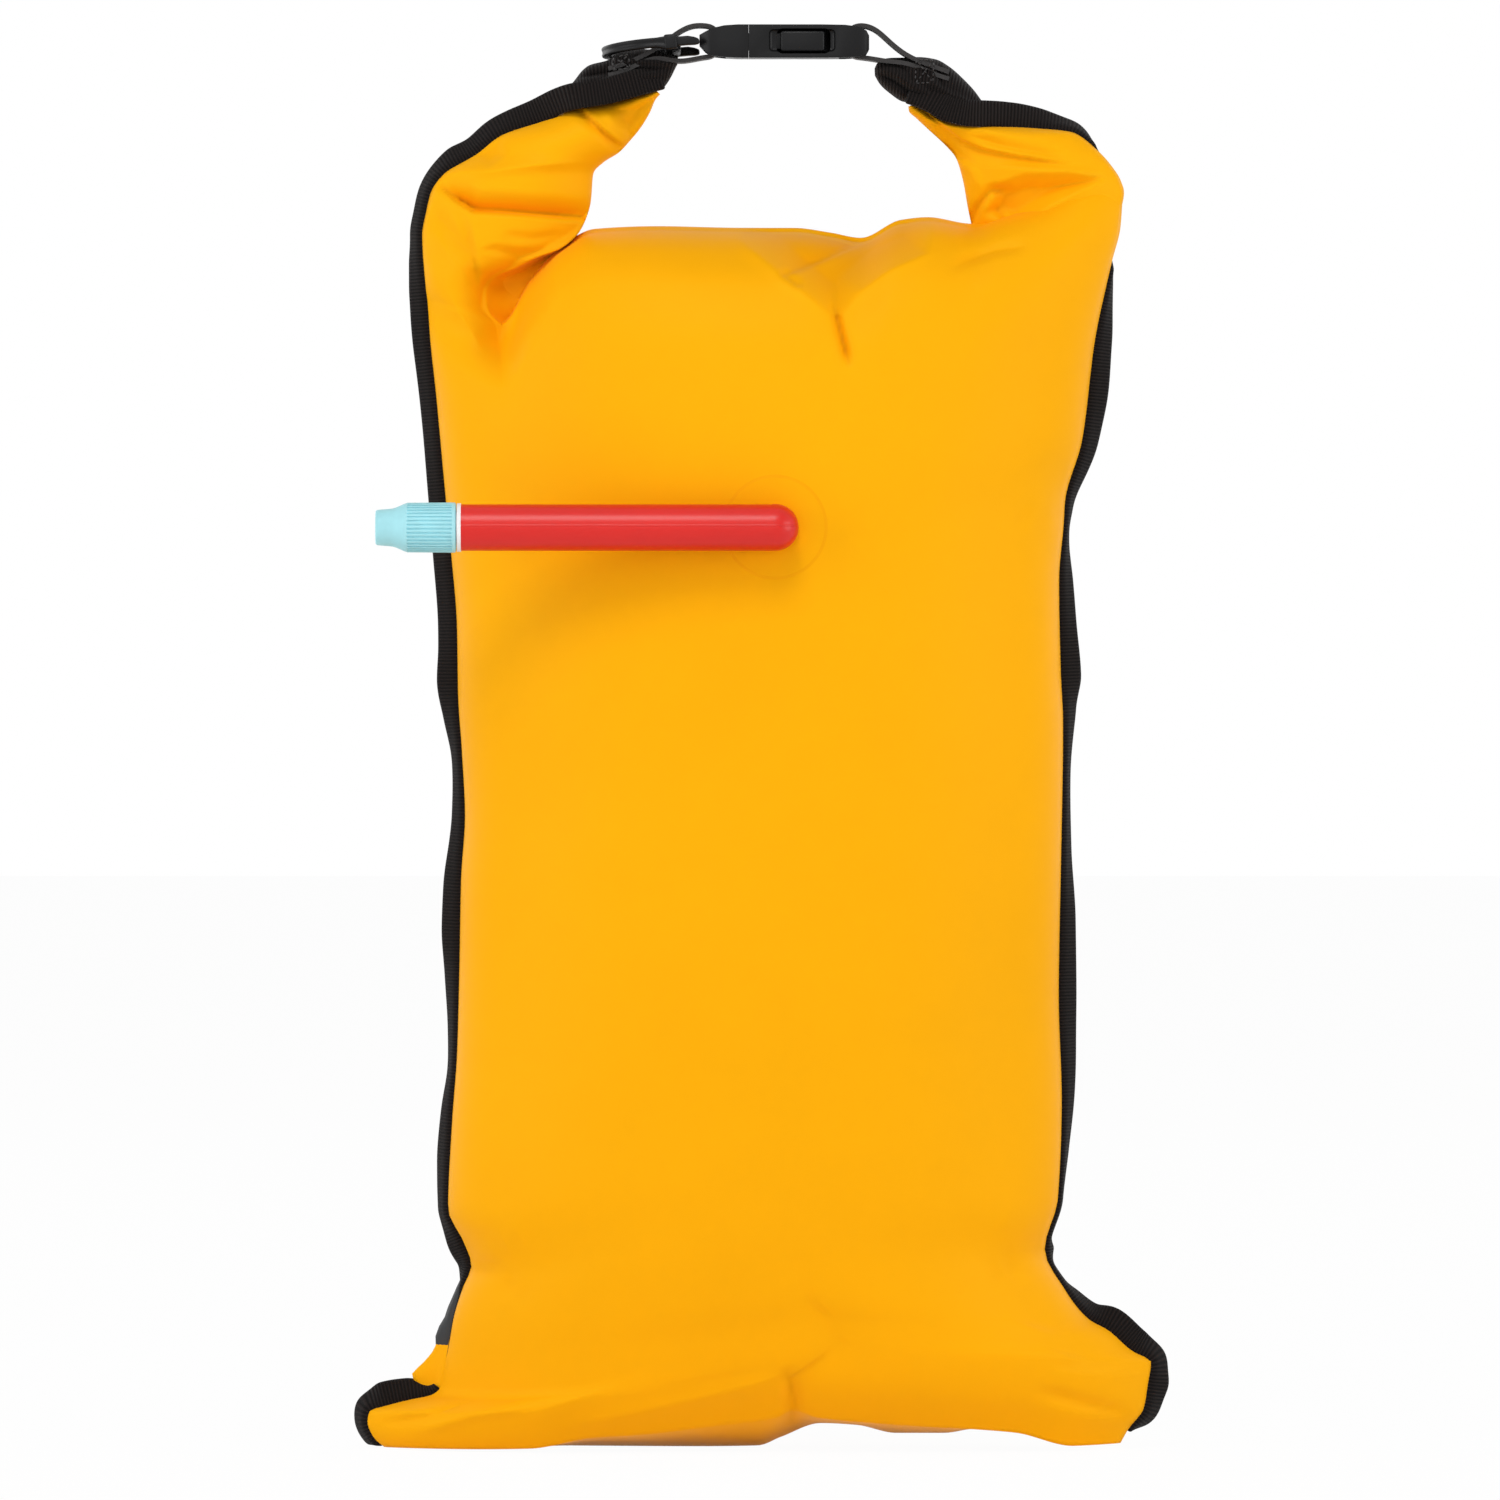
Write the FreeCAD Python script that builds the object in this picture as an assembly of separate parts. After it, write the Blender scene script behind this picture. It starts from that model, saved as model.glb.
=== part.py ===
import FreeCAD, Part
import math
import os

# Inflatable roll-top dry bag, standing upright.
# X runs to the right, Y to the back, Z up. The origin is on the floor, under
# the middle of the bag. All lengths are in millimetres.

Vec = FreeCAD.Vector

# ---- bag body -------------------------------------------------------------
BODY_HEIGHT = 454.0        # floor to the fold under the rolled mouth
BODY_WIDTH = 225.0         # across the middle, inside the side bindings
FRONT_DEPTH = 60.0         # seam plane to the front of the inflated bag
BACK_DEPTH = 58.0          # seam plane to its back
FABRIC = 0.8               # coated fabric
SOFT_GAP = 0.3             # room between soft pieces
SLICE_STEPS = 14           # points along half a slice, less one

# Height, left and right edge, front and back depth as shares of the sizes
# above, then how square the slice is and how pointed its edges are.
BODY_SLICES = (
    (0.000, 1.250, 1.120, 0.42, 0.42, 3.5, 0.85),
    (0.012, 1.315, 1.190, 0.58, 0.58, 3.5, 0.85),
    (0.030, 1.310, 1.270, 0.70, 0.70, 3.5, 0.90),
    (0.050, 1.190, 1.300, 0.78, 0.78, 3.2, 0.90),
    (0.073, 1.070, 1.270, 0.85, 0.85, 3.0, 0.80),
    (0.105, 1.015, 1.120, 0.92, 0.92, 2.6, 0.70),
    (0.155, 0.980, 0.965, 0.96, 0.96, 2.4, 0.60),
    (0.220, 1.025, 1.000, 0.99, 0.99, 2.3, 0.56),
    (0.320, 1.013, 1.000, 1.00, 1.00, 2.2, 0.55),
    (0.530, 0.993, 0.993, 1.00, 1.00, 2.2, 0.55),
    (0.700, 1.022, 0.993, 1.00, 1.00, 2.2, 0.55),
    (0.762, 1.050, 1.000, 0.985, 0.98, 2.2, 0.55),
    (0.865, 1.093, 1.083, 0.91, 0.88, 2.3, 0.58),
    (0.930, 1.117, 1.130, 0.75, 0.64, 2.4, 0.62),
    (0.965, 1.130, 1.155, 0.57, 0.36, 2.5, 0.66),
    (0.989, 1.130, 1.172, 0.38, 0.14, 2.5, 0.70),
    (1.000, 1.130, 1.172, 0.20, 0.06, 2.5, 0.75),
)
SHOULDER_DROP = 5.0        # fold down to where the collar's two arms begin
COLLAR_LEFT = 74.5         # half lengths of the straight middle of the collar
COLLAR_RIGHT = 78.0

# ---- side seams -----------------------------------------------------------
BINDING_SHOWN = 5.5        # how far the folded tape stands out of the seam
BINDING_THICK = 3.4
SEAM_THICK = 1.2           # the two welded fabric edges inside the tape
SEAM_WIDTH = 4.2

# ---- rolled mouth ---------------------------------------------------------
ROLL_RADIUS = 9.0
ROLL_DEPTH = 20.5          # seam plane to the roll's middle
ROLL_DROP = 10.5           # the roll's middle below the fold
ROLL_END_GAP = 1.0
STIFFENER_WIDTH = 11.0
STIFFENER_THICK = 1.2

# ---- back reinforcement ---------------------------------------------------
PATCH_BOTTOM = 37.0        # above the floor
PATCH_DROP = 106.0         # its top edge below the fold
PATCH_THICK = 1.0
PATCH_FRONT_EDGE = 12.0    # it ends this far behind the seam plane

# ---- inflation tube -------------------------------------------------------
TUBE_X = 4.9
TUBE_DROP = 108.0          # fold down to the middle of the tube
TUBE_RADIUS = 8.6
TUBE_BORE = 6.0
TUBE_LENGTH = 116.3        # elbow centre to the valve
TUBE_STAND_OFF = 3.2       # fabric to the side of the tube
FLANGE_RADIUS = 19.0
FLANGE_THICK = 1.2
PASS_GAP = 0.3             # fabric hole round the tube, tube end to its stub
ELBOW_PORT = 4.5

# ---- twist valve ----------------------------------------------------------
NECK_COLLAR_LENGTH = 1.5
NECK_COLLAR_RADIUS = 9.0
NECK_RADIUS = 5.4
NECK_BORE = 3.6
NECK_LENGTH = 14.0
BARB_LENGTH = 12.0         # what is pushed into the tube
PLUG_RADIUS = 2.2
PLUG_LENGTH = 16.5
PLUG_ROOT = 2.0            # how deep the plug's foot sits in the neck's end
PORT_COUNT = 3             # air ports round the plug's foot
PORT_RADIUS = 0.6
PORT_LENGTH = 6.0
CAP_LENGTH = 31.2
CAP_RADIUS = 9.4
CAP_GRIP_LENGTH = 18.4
CAP_CONE_LENGTH = 2.9
CAP_TIP_RADIUS = 7.1
CAP_TIP_TAPER = 0.4        # how much slimmer the tip is where it leaves the cone
CAP_OUTLET = 2.4
CAP_LIFT = 3.0             # how far the cap unscrews
CAP_RIBS = 32
RIB_RADIUS = 0.45
RIB_MARGIN = 0.8           # plain grip at each end of a rib
SEAL_THICK = 1.3
SEAL_SET_BACK = 4.0        # neck's collar to the seal
TURN_GAP = 0.15            # neck to seal to cap

# ---- buckle ---------------------------------------------------------------
BUCKLE_X = 7.7             # the middle of the closed buckle
BUCKLE_RISE = 73.0         # the fold up to the middle of the buckle
BUCKLE_WIDTH = 33.0
BUCKLE_THICK = 12.4
BUCKLE_ROUND = 3.0
CHEEK_ROUND = 2.0
CHEEK_RISE = 1.0           # cheeks above and below the webbing bar
BAR_REACH = 29.2           # buckle middle to each webbing bar
BAR_THICK = 5.0
BAR_DEPTH = 8.0
PARTING = 12.7             # buckle middle to the face where the halves meet
PARTING_GAP = 0.3
SOCKET_WALL = 2.2
SOCKET_END = 18.8          # buckle middle to the bottom of the socket
WINDOW_START = -2.45       # along X from the buckle middle
WINDOW_END = 17.8
WINDOW_HEIGHT = 9.2
PRONG_HEIGHT = 7.8
PRONG_STEM = 2.6
PRONG_ROOT_RADIUS = 2.2
PRONG_ROOT_X = -16.7       # along X from the buckle middle
PRONG_GAP = 0.3
PRONG_INSET = 1.0          # the stem's outside to the root's outside
PRONG_SET_IN = 0.5         # the pressed button below the buckle's side
PRONG_NOSE = 1.5           # the head's end before the window's end
PRONG_ROUND = 1.2          # its blunted corners
PRONG_SWEEP = 2.2          # how far the stem moves inwards when pressed
POCKET_GAP = 0.2
TONGUE_WIDTH = 8.0
TONGUE_THICK = 3.0
TONGUE_REACH = 10.0        # past the buckle middle

# ---- webbing --------------------------------------------------------------
WEB_WIDTH = 25.0
WEB_THICK = 1.6
WEB_GAP = 0.4              # webbing to the cheeks beside it
LOOP_SLACK = 0.4           # bar corner to the webbing that turns about it
LOWER_STRAND = 6.8         # the buckle's middle down to the strand under the D-ring
RIBBON_STEPS = 6           # points per point of a strap's centre line
BAR_TURN_STEPS = 8

# ---- D-ring ---------------------------------------------------------------
RING_THICK = 3.4
RING_SIDE_GAP = 0.5
RING_LEG = 13.0
RING_REACH = 38.7          # buckle middle to the ring's straight bar
RING_TILT = 10.0           # degrees above level, as it lies on the arm

# ---- collar arms ----------------------------------------------------------
ARM_DEPTH = 14.0           # half depth of an arm
ARM_GAP = 0.3              # arm to body at the shoulder
TACK_THICK = 0.6
SECTION_STEPS = 16
SECTION_SQUARENESS = 0.8

FAR = 400.0                # half size of a cutting block
OVERCUT = 1.0              # how far a cut runs past the face it opens

os.makedirs("parts", exist_ok=True)


def save(shape, name):
    """Write one node, and stop if it isn't sound."""
    if not shape.isValid() or shape.Volume <= 0:
        raise ValueError(name + " isn't a valid solid")
    shape.exportStep(os.path.join("parts", name + ".step"))
    print(name, len(shape.Solids), "solid", round(shape.Volume), "mm3")


def block(x0, x1, y0, y1, z0, z1):
    """A box between two corners."""
    return Part.makeBox(x1 - x0, y1 - y0, z1 - z0, Vec(x0, y0, z0))


def rod(radius, start, direction, length):
    """A cylinder from a point."""
    return Part.makeCylinder(radius, length, Vec(*start), Vec(*direction))


def open_curve(points):
    """A smooth edge through points."""
    curve = Part.BSplineCurve()
    curve.interpolate(points)
    return curve.toShape()


def closed_curve(points):
    """A smooth closed wire through points."""
    curve = Part.BSplineCurve()
    curve.interpolate(points, PeriodicFlag=True)
    return Part.Wire([curve.toShape()])


# ---- the inflated body ----------------------------------------------------
shoulder_z = BODY_HEIGHT - SHOULDER_DROP
tube_z = BODY_HEIGHT - TUBE_DROP
buckle_z = BODY_HEIGHT + BUCKLE_RISE
LEFT, RIGHT, FRONT = 1, 2, 3


def slice_share(height, column):
    """A slice's share at a height, between the slices above and below."""
    share = height / BODY_HEIGHT
    for low, high in zip(BODY_SLICES, BODY_SLICES[1:]):
        if share <= high[0]:
            part = (share - low[0]) / (high[0] - low[0])
            return low[column] + part * (high[column] - low[column])
    return BODY_SLICES[-1][column]


def half_slice(slice_values, height, shrink, side):
    """One edge of a slice, from the left seam round the front or back to the right."""
    _, left, right, front, back, squareness, point = slice_values
    low = -left * BODY_WIDTH / 2 + shrink
    high = right * BODY_WIDTH / 2 - shrink
    depth = (front * FRONT_DEPTH if side < 0 else back * BACK_DEPTH) - shrink
    depth = max(depth, FABRIC / 4)
    points = []
    for i in range(SLICE_STEPS + 1):
        across = -math.cos(math.pi * i / SLICE_STEPS)
        reach = max(0.0, 1 - abs(across) ** squareness) ** point
        x = (low + high) / 2 + across * (high - low) / 2
        points.append(Vec(x, side * depth * reach, height))
    return open_curve(points if side < 0 else points[::-1])


def bag_form(shrink):
    """The inflated form, smaller all round by shrink."""
    wires = []
    for slice_values in BODY_SLICES:
        height = slice_values[0] * BODY_HEIGHT
        height = min(max(height, shrink), BODY_HEIGHT - shrink)
        front = half_slice(slice_values, height, shrink, -1)
        back = half_slice(slice_values, height, shrink, 1)
        wires.append(Part.Wire([front, back]))
    return Part.makeLoft(wires, True, False)


def cut_shoulders(form, height):
    """Take off what lies above a height, outside the middle of the collar."""
    left = block(-FAR, -COLLAR_LEFT, -FAR, FAR, height, height + FAR)
    right = block(COLLAR_RIGHT, FAR, -FAR, FAR, height, height + FAR)
    return form.cut(left).cut(right)


bag_outer = cut_shoulders(bag_form(0), shoulder_z)
bag_inner = cut_shoulders(bag_form(FABRIC), shoulder_z - FABRIC)
bag_skin = bag_outer.cut(bag_inner)

fabric_y = -slice_share(tube_z, FRONT) * FRONT_DEPTH
tube_y = fabric_y - TUBE_STAND_OFF - TUBE_RADIUS

tube_hole = rod(TUBE_RADIUS + PASS_GAP, (TUBE_X, -FAR, tube_z), (0, 1, 0), FAR)
front_half = block(-FAR, FAR, -FAR, 0, -FAR, BODY_HEIGHT + FAR)
back_half = block(-FAR, FAR, 0, FAR, -FAR, BODY_HEIGHT + FAR)
front_panel = bag_skin.common(front_half).cut(tube_hole)
back_panel = bag_skin.common(back_half)
save(front_panel, "front_panel")
save(back_panel, "back_panel")


# ---- side bindings and the welded seams inside them -----------------------
def offset_line(line, distance, side):
    """A line in the XZ plane moved outwards, away from the bag."""
    moved = []
    for i, point in enumerate(line):
        before = line[max(i - 1, 0)]
        after = line[min(i + 1, len(line) - 1)]
        along = (after - before).normalize()
        moved.append(point + Vec(along.z, 0, -along.x) * (side * distance))
    return moved


def strip(inner, outer, thickness):
    """A flat strip between two lines in the XZ plane."""
    first, second = open_curve(inner), open_curve(outer[::-1])
    ends = [
        Part.makeLine(inner[-1], outer[-1]),
        Part.makeLine(outer[0], inner[0]),
    ]
    wire = Part.Wire([first, ends[0], second, ends[1]])
    face = Part.Face(wire)
    face.translate(Vec(0, -thickness / 2, 0))
    return face.extrude(Vec(0, thickness, 0))


def seam_strip(side, start, stop, thickness):
    """A strip along one side seam, from start to stop out of it."""
    line = []
    for slice_values in BODY_SLICES[1:-1]:
        height = slice_values[0] * BODY_HEIGHT
        column = LEFT if side < 0 else RIGHT
        line.append(Vec(side * slice_values[column] * BODY_WIDTH / 2, 0, height))
    line[-1].z = shoulder_z
    inner = offset_line(line, start, side)
    outer = offset_line(line, stop, side)
    inner[-1].z = shoulder_z
    outer[-1].z = shoulder_z
    return strip(inner, outer, thickness)


tape_wall = BINDING_SHOWN - SEAM_WIDTH - 2 * SOFT_GAP
for side, name in ((-1, "left"), (1, "right")):
    tape = seam_strip(side, SOFT_GAP, BINDING_SHOWN, BINDING_THICK)
    slot = seam_strip(side, 0, BINDING_SHOWN - tape_wall, SEAM_THICK + 2 * SOFT_GAP)
    weld = seam_strip(side, SOFT_GAP, SOFT_GAP + SEAM_WIDTH, SEAM_THICK)
    save(tape.cut(slot).cut(bag_outer), "side_binding_" + name)
    save(weld.cut(bag_outer), "seam_flange_" + name)

# ---- rolled mouth with its stiffener --------------------------------------
roll_z = BODY_HEIGHT - ROLL_DROP
roll_start = -COLLAR_LEFT + ROLL_END_GAP
roll_length = COLLAR_LEFT + COLLAR_RIGHT - 2 * ROLL_END_GAP
roll = rod(ROLL_RADIUS, (roll_start, ROLL_DEPTH, roll_z), (1, 0, 0), roll_length)
stiffener = block(
    roll_start, roll_start + roll_length,
    ROLL_DEPTH - STIFFENER_THICK / 2, ROLL_DEPTH + STIFFENER_THICK / 2,
    roll_z - STIFFENER_WIDTH / 2, roll_z + STIFFENER_WIDTH / 2,
)
save(roll.cut(bag_outer).cut(stiffener), "rolled_mouth")
save(stiffener.cut(bag_outer), "mouth_stiffener")

# ---- back reinforcement ---------------------------------------------------
patch_zone = block(-FAR, FAR, PATCH_FRONT_EDGE, FAR, PATCH_BOTTOM, BODY_HEIGHT - PATCH_DROP)
patch_outer = bag_form(-SOFT_GAP - PATCH_THICK).common(patch_zone)
patch_inner = bag_form(-SOFT_GAP).common(patch_zone)
save(patch_outer.cut(patch_inner), "back_reinforcement")

# ---- inflation tube -------------------------------------------------------
flange = rod(FLANGE_RADIUS, (TUBE_X, fabric_y + FABRIC, tube_z), (0, 1, 0), FLANGE_THICK)
stub_start = fabric_y + FABRIC + FLANGE_THICK
stub_end = tube_y + TUBE_RADIUS + PASS_GAP
stub = rod(TUBE_RADIUS, (TUBE_X, stub_end, tube_z), (0, 1, 0), stub_start - stub_end)
stub_bore = rod(TUBE_BORE, (TUBE_X, stub_end - OVERCUT, tube_z), (0, 1, 0), FAR)
save(flange.cut(stub).common(bag_inner), "tube_flange")
save(stub.cut(stub_bore), "tube_stub")

elbow = Vec(TUBE_X, tube_y, tube_z)
valve_x = TUBE_X - TUBE_LENGTH
tube = rod(TUBE_RADIUS, elbow, (-1, 0, 0), TUBE_LENGTH)
tube = tube.fuse(Part.makeSphere(TUBE_RADIUS, elbow))
hollow = rod(TUBE_BORE, elbow, (-1, 0, 0), TUBE_LENGTH + OVERCUT)
hollow = hollow.fuse(Part.makeSphere(TUBE_BORE, elbow))
hollow = hollow.fuse(rod(ELBOW_PORT, elbow, (0, 1, 0), TUBE_RADIUS + OVERCUT))
save(tube.cut(hollow), "tube")


# ---- twist valve ----------------------------------------------------------
def on_valve(radius, start, length):
    """A cylinder on the valve's axis; start counts from the tube's end."""
    return rod(radius, (valve_x - start, tube_y, tube_z), (-1, 0, 0), length)


neck = on_valve(TUBE_BORE - TURN_GAP / 3, -BARB_LENGTH, BARB_LENGTH)
neck = neck.fuse(on_valve(NECK_COLLAR_RADIUS, 0, NECK_COLLAR_LENGTH))
neck = neck.fuse(on_valve(NECK_RADIUS, 0, NECK_COLLAR_LENGTH + NECK_LENGTH))
neck = neck.cut(on_valve(NECK_BORE, -BARB_LENGTH - OVERCUT, NECK_LENGTH + BARB_LENGTH))
plug_foot = NECK_COLLAR_LENGTH + NECK_LENGTH - PLUG_ROOT
neck = neck.fuse(on_valve(PLUG_RADIUS, plug_foot, PLUG_LENGTH))
for i in range(PORT_COUNT):
    turn = math.radians(360 * i / PORT_COUNT + 90)
    port = on_valve(PORT_RADIUS, plug_foot - PLUG_ROOT, PORT_LENGTH)
    reach = NECK_BORE - PORT_RADIUS / 2
    port.translate(Vec(0, reach * math.cos(turn), reach * math.sin(turn)))
    neck = neck.cut(port)
save(neck, "valve_neck")

seal_start = NECK_COLLAR_LENGTH + SEAL_SET_BACK
seal = on_valve(NECK_RADIUS + TURN_GAP + SEAL_THICK, seal_start, SEAL_THICK)
seal = seal.cut(on_valve(NECK_RADIUS + TURN_GAP, 0, FAR))
save(seal, "nozzle_seal")

cap_start = NECK_COLLAR_LENGTH + PASS_GAP
tip_start = cap_start + CAP_GRIP_LENGTH + CAP_CONE_LENGTH
cap = on_valve(CAP_RADIUS - RIB_RADIUS, cap_start, CAP_GRIP_LENGTH)
cone = Part.makeCone(
    CAP_RADIUS - RIB_RADIUS, CAP_TIP_RADIUS - CAP_TIP_TAPER, CAP_CONE_LENGTH,
    Vec(valve_x - cap_start - CAP_GRIP_LENGTH, tube_y, tube_z), Vec(-1, 0, 0),
)
tip_length = cap_start + CAP_LENGTH - tip_start
tip = Part.makeCone(
    CAP_TIP_RADIUS - CAP_TIP_TAPER, CAP_TIP_RADIUS, tip_length / 2,
    Vec(valve_x - tip_start, tube_y, tube_z), Vec(-1, 0, 0),
)
tip = tip.fuse(on_valve(CAP_TIP_RADIUS, tip_start + tip_length / 2, tip_length / 2))
cap = cap.fuse(cone).fuse(tip)
ribs = []
for i in range(CAP_RIBS):
    turn = 2 * math.pi * i / CAP_RIBS
    rib = on_valve(RIB_RADIUS, cap_start + RIB_MARGIN, CAP_GRIP_LENGTH - 2 * RIB_MARGIN)
    reach = CAP_RADIUS - RIB_RADIUS
    rib.translate(Vec(0, reach * math.cos(turn), reach * math.sin(turn)))
    ribs.append(rib)
cap = cap.multiFuse(ribs)
neck_room = NECK_COLLAR_LENGTH + NECK_LENGTH + SOFT_GAP
cap = cap.cut(on_valve(NECK_RADIUS + 2 * TURN_GAP, 0, neck_room))
groove = on_valve(
    NECK_RADIUS + 2 * TURN_GAP + SEAL_THICK,
    seal_start - CAP_LIFT - TURN_GAP,
    SEAL_THICK + CAP_LIFT + 2 * TURN_GAP,
)
cap = cap.cut(groove)
cap = cap.cut(on_valve(CAP_OUTLET, cap_start, CAP_LENGTH + OVERCUT))
save(cap, "nozzle_cap")


# ---- side-release buckle --------------------------------------------------
def buckle_block(x0, x1, half_width, half_height):
    """A box about the buckle's own middle."""
    return block(
        BUCKLE_X + x0, BUCKLE_X + x1, -half_width, half_width,
        buckle_z - half_height, buckle_z + half_height,
    )


def rounded_x(shape, radius):
    """Round the edges that run along X."""
    edges = [e for e in shape.Edges if abs(e.tangentAt(e.FirstParameter).x) > 0.99]
    return shape.makeFillet(radius, edges)


bar_half = math.hypot(BAR_THICK, BAR_DEPTH) / 2
loop_inner = bar_half + LOOP_SLACK
loop_middle = loop_inner + WEB_THICK / 2
slot_inner = BAR_REACH - loop_inner - WEB_THICK - WEB_GAP
slot_outer = BAR_REACH - BAR_THICK / 2
bar_end = BAR_REACH + BAR_THICK / 2
slot_half = WEB_WIDTH / 2 + WEB_GAP
half_width = BUCKLE_WIDTH / 2
half_thick = BUCKLE_THICK / 2
socket_half = half_width - SOCKET_WALL
socket_height = PRONG_HEIGHT / 2 + PRONG_GAP
cheek_height = BAR_DEPTH / 2 + CHEEK_RISE

female = rounded_x(buckle_block(-PARTING, slot_inner, half_width, half_thick), BUCKLE_ROUND)
ears = rounded_x(buckle_block(slot_inner, bar_end, half_width, cheek_height), CHEEK_ROUND)
female = female.fuse(ears)
female = female.cut(buckle_block(-PARTING - OVERCUT, SOCKET_END, socket_half, socket_height))
female = female.cut(buckle_block(WINDOW_START, WINDOW_END, FAR, WINDOW_HEIGHT / 2))
female = female.cut(buckle_block(slot_inner, slot_outer, slot_half, FAR))
bar_trim = buckle_block(slot_outer, bar_end + OVERCUT, slot_half, FAR)
bar_keep = buckle_block(slot_outer, bar_end, slot_half, BAR_DEPTH / 2)
female = female.cut(bar_trim.cut(bar_keep))
save(female, "buckle_female")

male_face = -PARTING - PARTING_GAP
male = rounded_x(buckle_block(-slot_inner, male_face, half_width, half_thick), BUCKLE_ROUND)
cheeks = rounded_x(buckle_block(-bar_end, -slot_inner, half_width, cheek_height), CHEEK_ROUND)
male = male.fuse(cheeks)
male = male.cut(buckle_block(-slot_outer, -slot_inner, slot_half, FAR))
bar_trim = buckle_block(-bar_end - OVERCUT, -slot_outer, slot_half, FAR)
bar_keep = buckle_block(-bar_end, -slot_outer, slot_half, BAR_DEPTH / 2)
male = male.cut(bar_trim.cut(bar_keep))
male = male.fuse(buckle_block(male_face - OVERCUT, TONGUE_REACH, TONGUE_WIDTH / 2, TONGUE_THICK / 2))

stem_outer = socket_half - PRONG_GAP
root_y = stem_outer - PRONG_ROOT_RADIUS - PRONG_INSET


# Along the head from the window's start, and how far out as a share of its rise.
PRONG_RAMP = ((0.0, 0.0), (4.0, 0.17), (8.0, 0.45), (12.0, 0.82), (14.0, 1.0))


def prong_shape():
    """A release arm on the +Y side: root, stem and ramped head."""
    rise = half_width - PRONG_SET_IN - stem_outer
    inner = stem_outer - PRONG_STEM
    nose = WINDOW_END - PRONG_NOSE
    outline = [(PRONG_ROOT_X, root_y + PRONG_ROOT_RADIUS), (male_face, stem_outer)]
    outline += [(WINDOW_START + x, stem_outer + share * rise) for x, share in PRONG_RAMP]
    outline += [
        (nose - PRONG_ROUND, stem_outer + rise),
        (nose, stem_outer - PRONG_ROUND),
        (nose, inner + PRONG_ROUND / 2),
        (nose - PRONG_ROUND, inner),
        (male_face, inner),
        (PRONG_ROOT_X, root_y - PRONG_ROOT_RADIUS + PRONG_INSET),
    ]
    low = buckle_z - PRONG_HEIGHT / 2
    corners = [Vec(BUCKLE_X + x, y, low) for x, y in outline]
    face = Part.Face(Part.makePolygon(corners + corners[:1]))
    arm = face.extrude(Vec(0, 0, PRONG_HEIGHT))
    root = rod(PRONG_ROOT_RADIUS, (BUCKLE_X + PRONG_ROOT_X, root_y, low), (0, 0, 1), PRONG_HEIGHT)
    return arm.fuse(root).removeSplitter()


def prong_pocket():
    """The room that a release arm turns in, inside the male half."""
    low = buckle_z - PRONG_HEIGHT / 2 - POCKET_GAP
    height = PRONG_HEIGHT + 2 * POCKET_GAP
    radius = PRONG_ROOT_RADIUS + POCKET_GAP
    outline = [
        (PRONG_ROOT_X, root_y + radius),
        (male_face + POCKET_GAP, stem_outer + POCKET_GAP),
        (male_face + POCKET_GAP, stem_outer - PRONG_STEM - PRONG_SWEEP),
        (PRONG_ROOT_X, root_y - radius + 2 * POCKET_GAP),
    ]
    corners = [Vec(BUCKLE_X + x, y, low) for x, y in outline]
    face = Part.Face(Part.makePolygon(corners + corners[:1]))
    room = face.extrude(Vec(0, 0, height))
    return room.fuse(rod(radius, (BUCKLE_X + PRONG_ROOT_X, root_y, low), (0, 0, 1), height))


back_prong = prong_shape()
front_prong = back_prong.mirror(Vec(0, 0, 0), Vec(0, 1, 0))
pocket = prong_pocket()
male = male.cut(pocket).cut(pocket.mirror(Vec(0, 0, 0), Vec(0, 1, 0)))
save(male, "buckle_male")
save(back_prong, "release_arm_back")
save(front_prong, "release_arm_front")


# ---- webbing loops --------------------------------------------------------
def ribbon(points, thickness, width):
    """A strap on edge in the XZ plane, along a smooth centre line."""
    centre = Part.BSplineCurve()
    centre.interpolate(points)
    sides = ([], [])
    count = RIBBON_STEPS * len(points)
    for i in range(count + 1):
        share = centre.FirstParameter
        share += (centre.LastParameter - centre.FirstParameter) * i / count
        along = Vec(*centre.tangent(share)[0]).normalize()
        normal = Vec(along.z, 0, -along.x)
        for line, sign in zip(sides, (1, -1)):
            line.append(centre.value(share) + normal * (sign * thickness / 2))
    first, second = open_curve(sides[0]), open_curve(sides[1][::-1])
    start = Part.makeLine(sides[1][0], sides[0][0])
    end = Part.makeLine(sides[0][-1], sides[1][-1])
    face = Part.Face(Part.Wire([first, end, second, start]))
    face.translate(Vec(0, -width / 2, 0))
    return face.extrude(Vec(0, width, 0))


def loop_line(side, upper, lower):
    """Out of the collar, round the webbing bar and back, as distances from the bar."""
    bar_x = BUCKLE_X + side * BAR_REACH
    line = [Vec(bar_x + side * x, 0, buckle_z + z) for x, z in upper]
    for i in range(BAR_TURN_STEPS + 1):
        turn = math.radians(90 + 180 * i / BAR_TURN_STEPS)
        x = loop_middle * math.cos(turn)
        line.append(Vec(bar_x + side * x, 0, buckle_z + loop_middle * math.sin(turn)))
    line += [Vec(bar_x + side * x, 0, buckle_z + z) for x, z in lower]
    return line


LEFT_UPPER = ((36.0, -10.2), (27.0, -7.2), (17.5, -2.2), (10.0, 3.2), (5.0, 5.6))
LEFT_LOWER = ((5.5, -6.9), (11.0, -7.2), (17.5, -6.4), (27.0, -9.6), (36.0, -12.6))
RIGHT_UPPER = ((33.0, -11.5), (25.0, -8.6), (16.5, -4.6), (10.0, 0.6), (5.0, 4.6))
RIGHT_LOWER = ((5.0, -6.6), (10.0, -7.4), (16.5, -8.2), (25.0, -11.2), (33.0, -14.0))

loops = {
    "left": ribbon(loop_line(-1, LEFT_UPPER, LEFT_LOWER), WEB_THICK, WEB_WIDTH),
    "right": ribbon(loop_line(1, RIGHT_UPPER, RIGHT_LOWER), WEB_THICK, WEB_WIDTH),
}
for name, loop in loops.items():
    save(loop, "webbing_loop_" + name)

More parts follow.
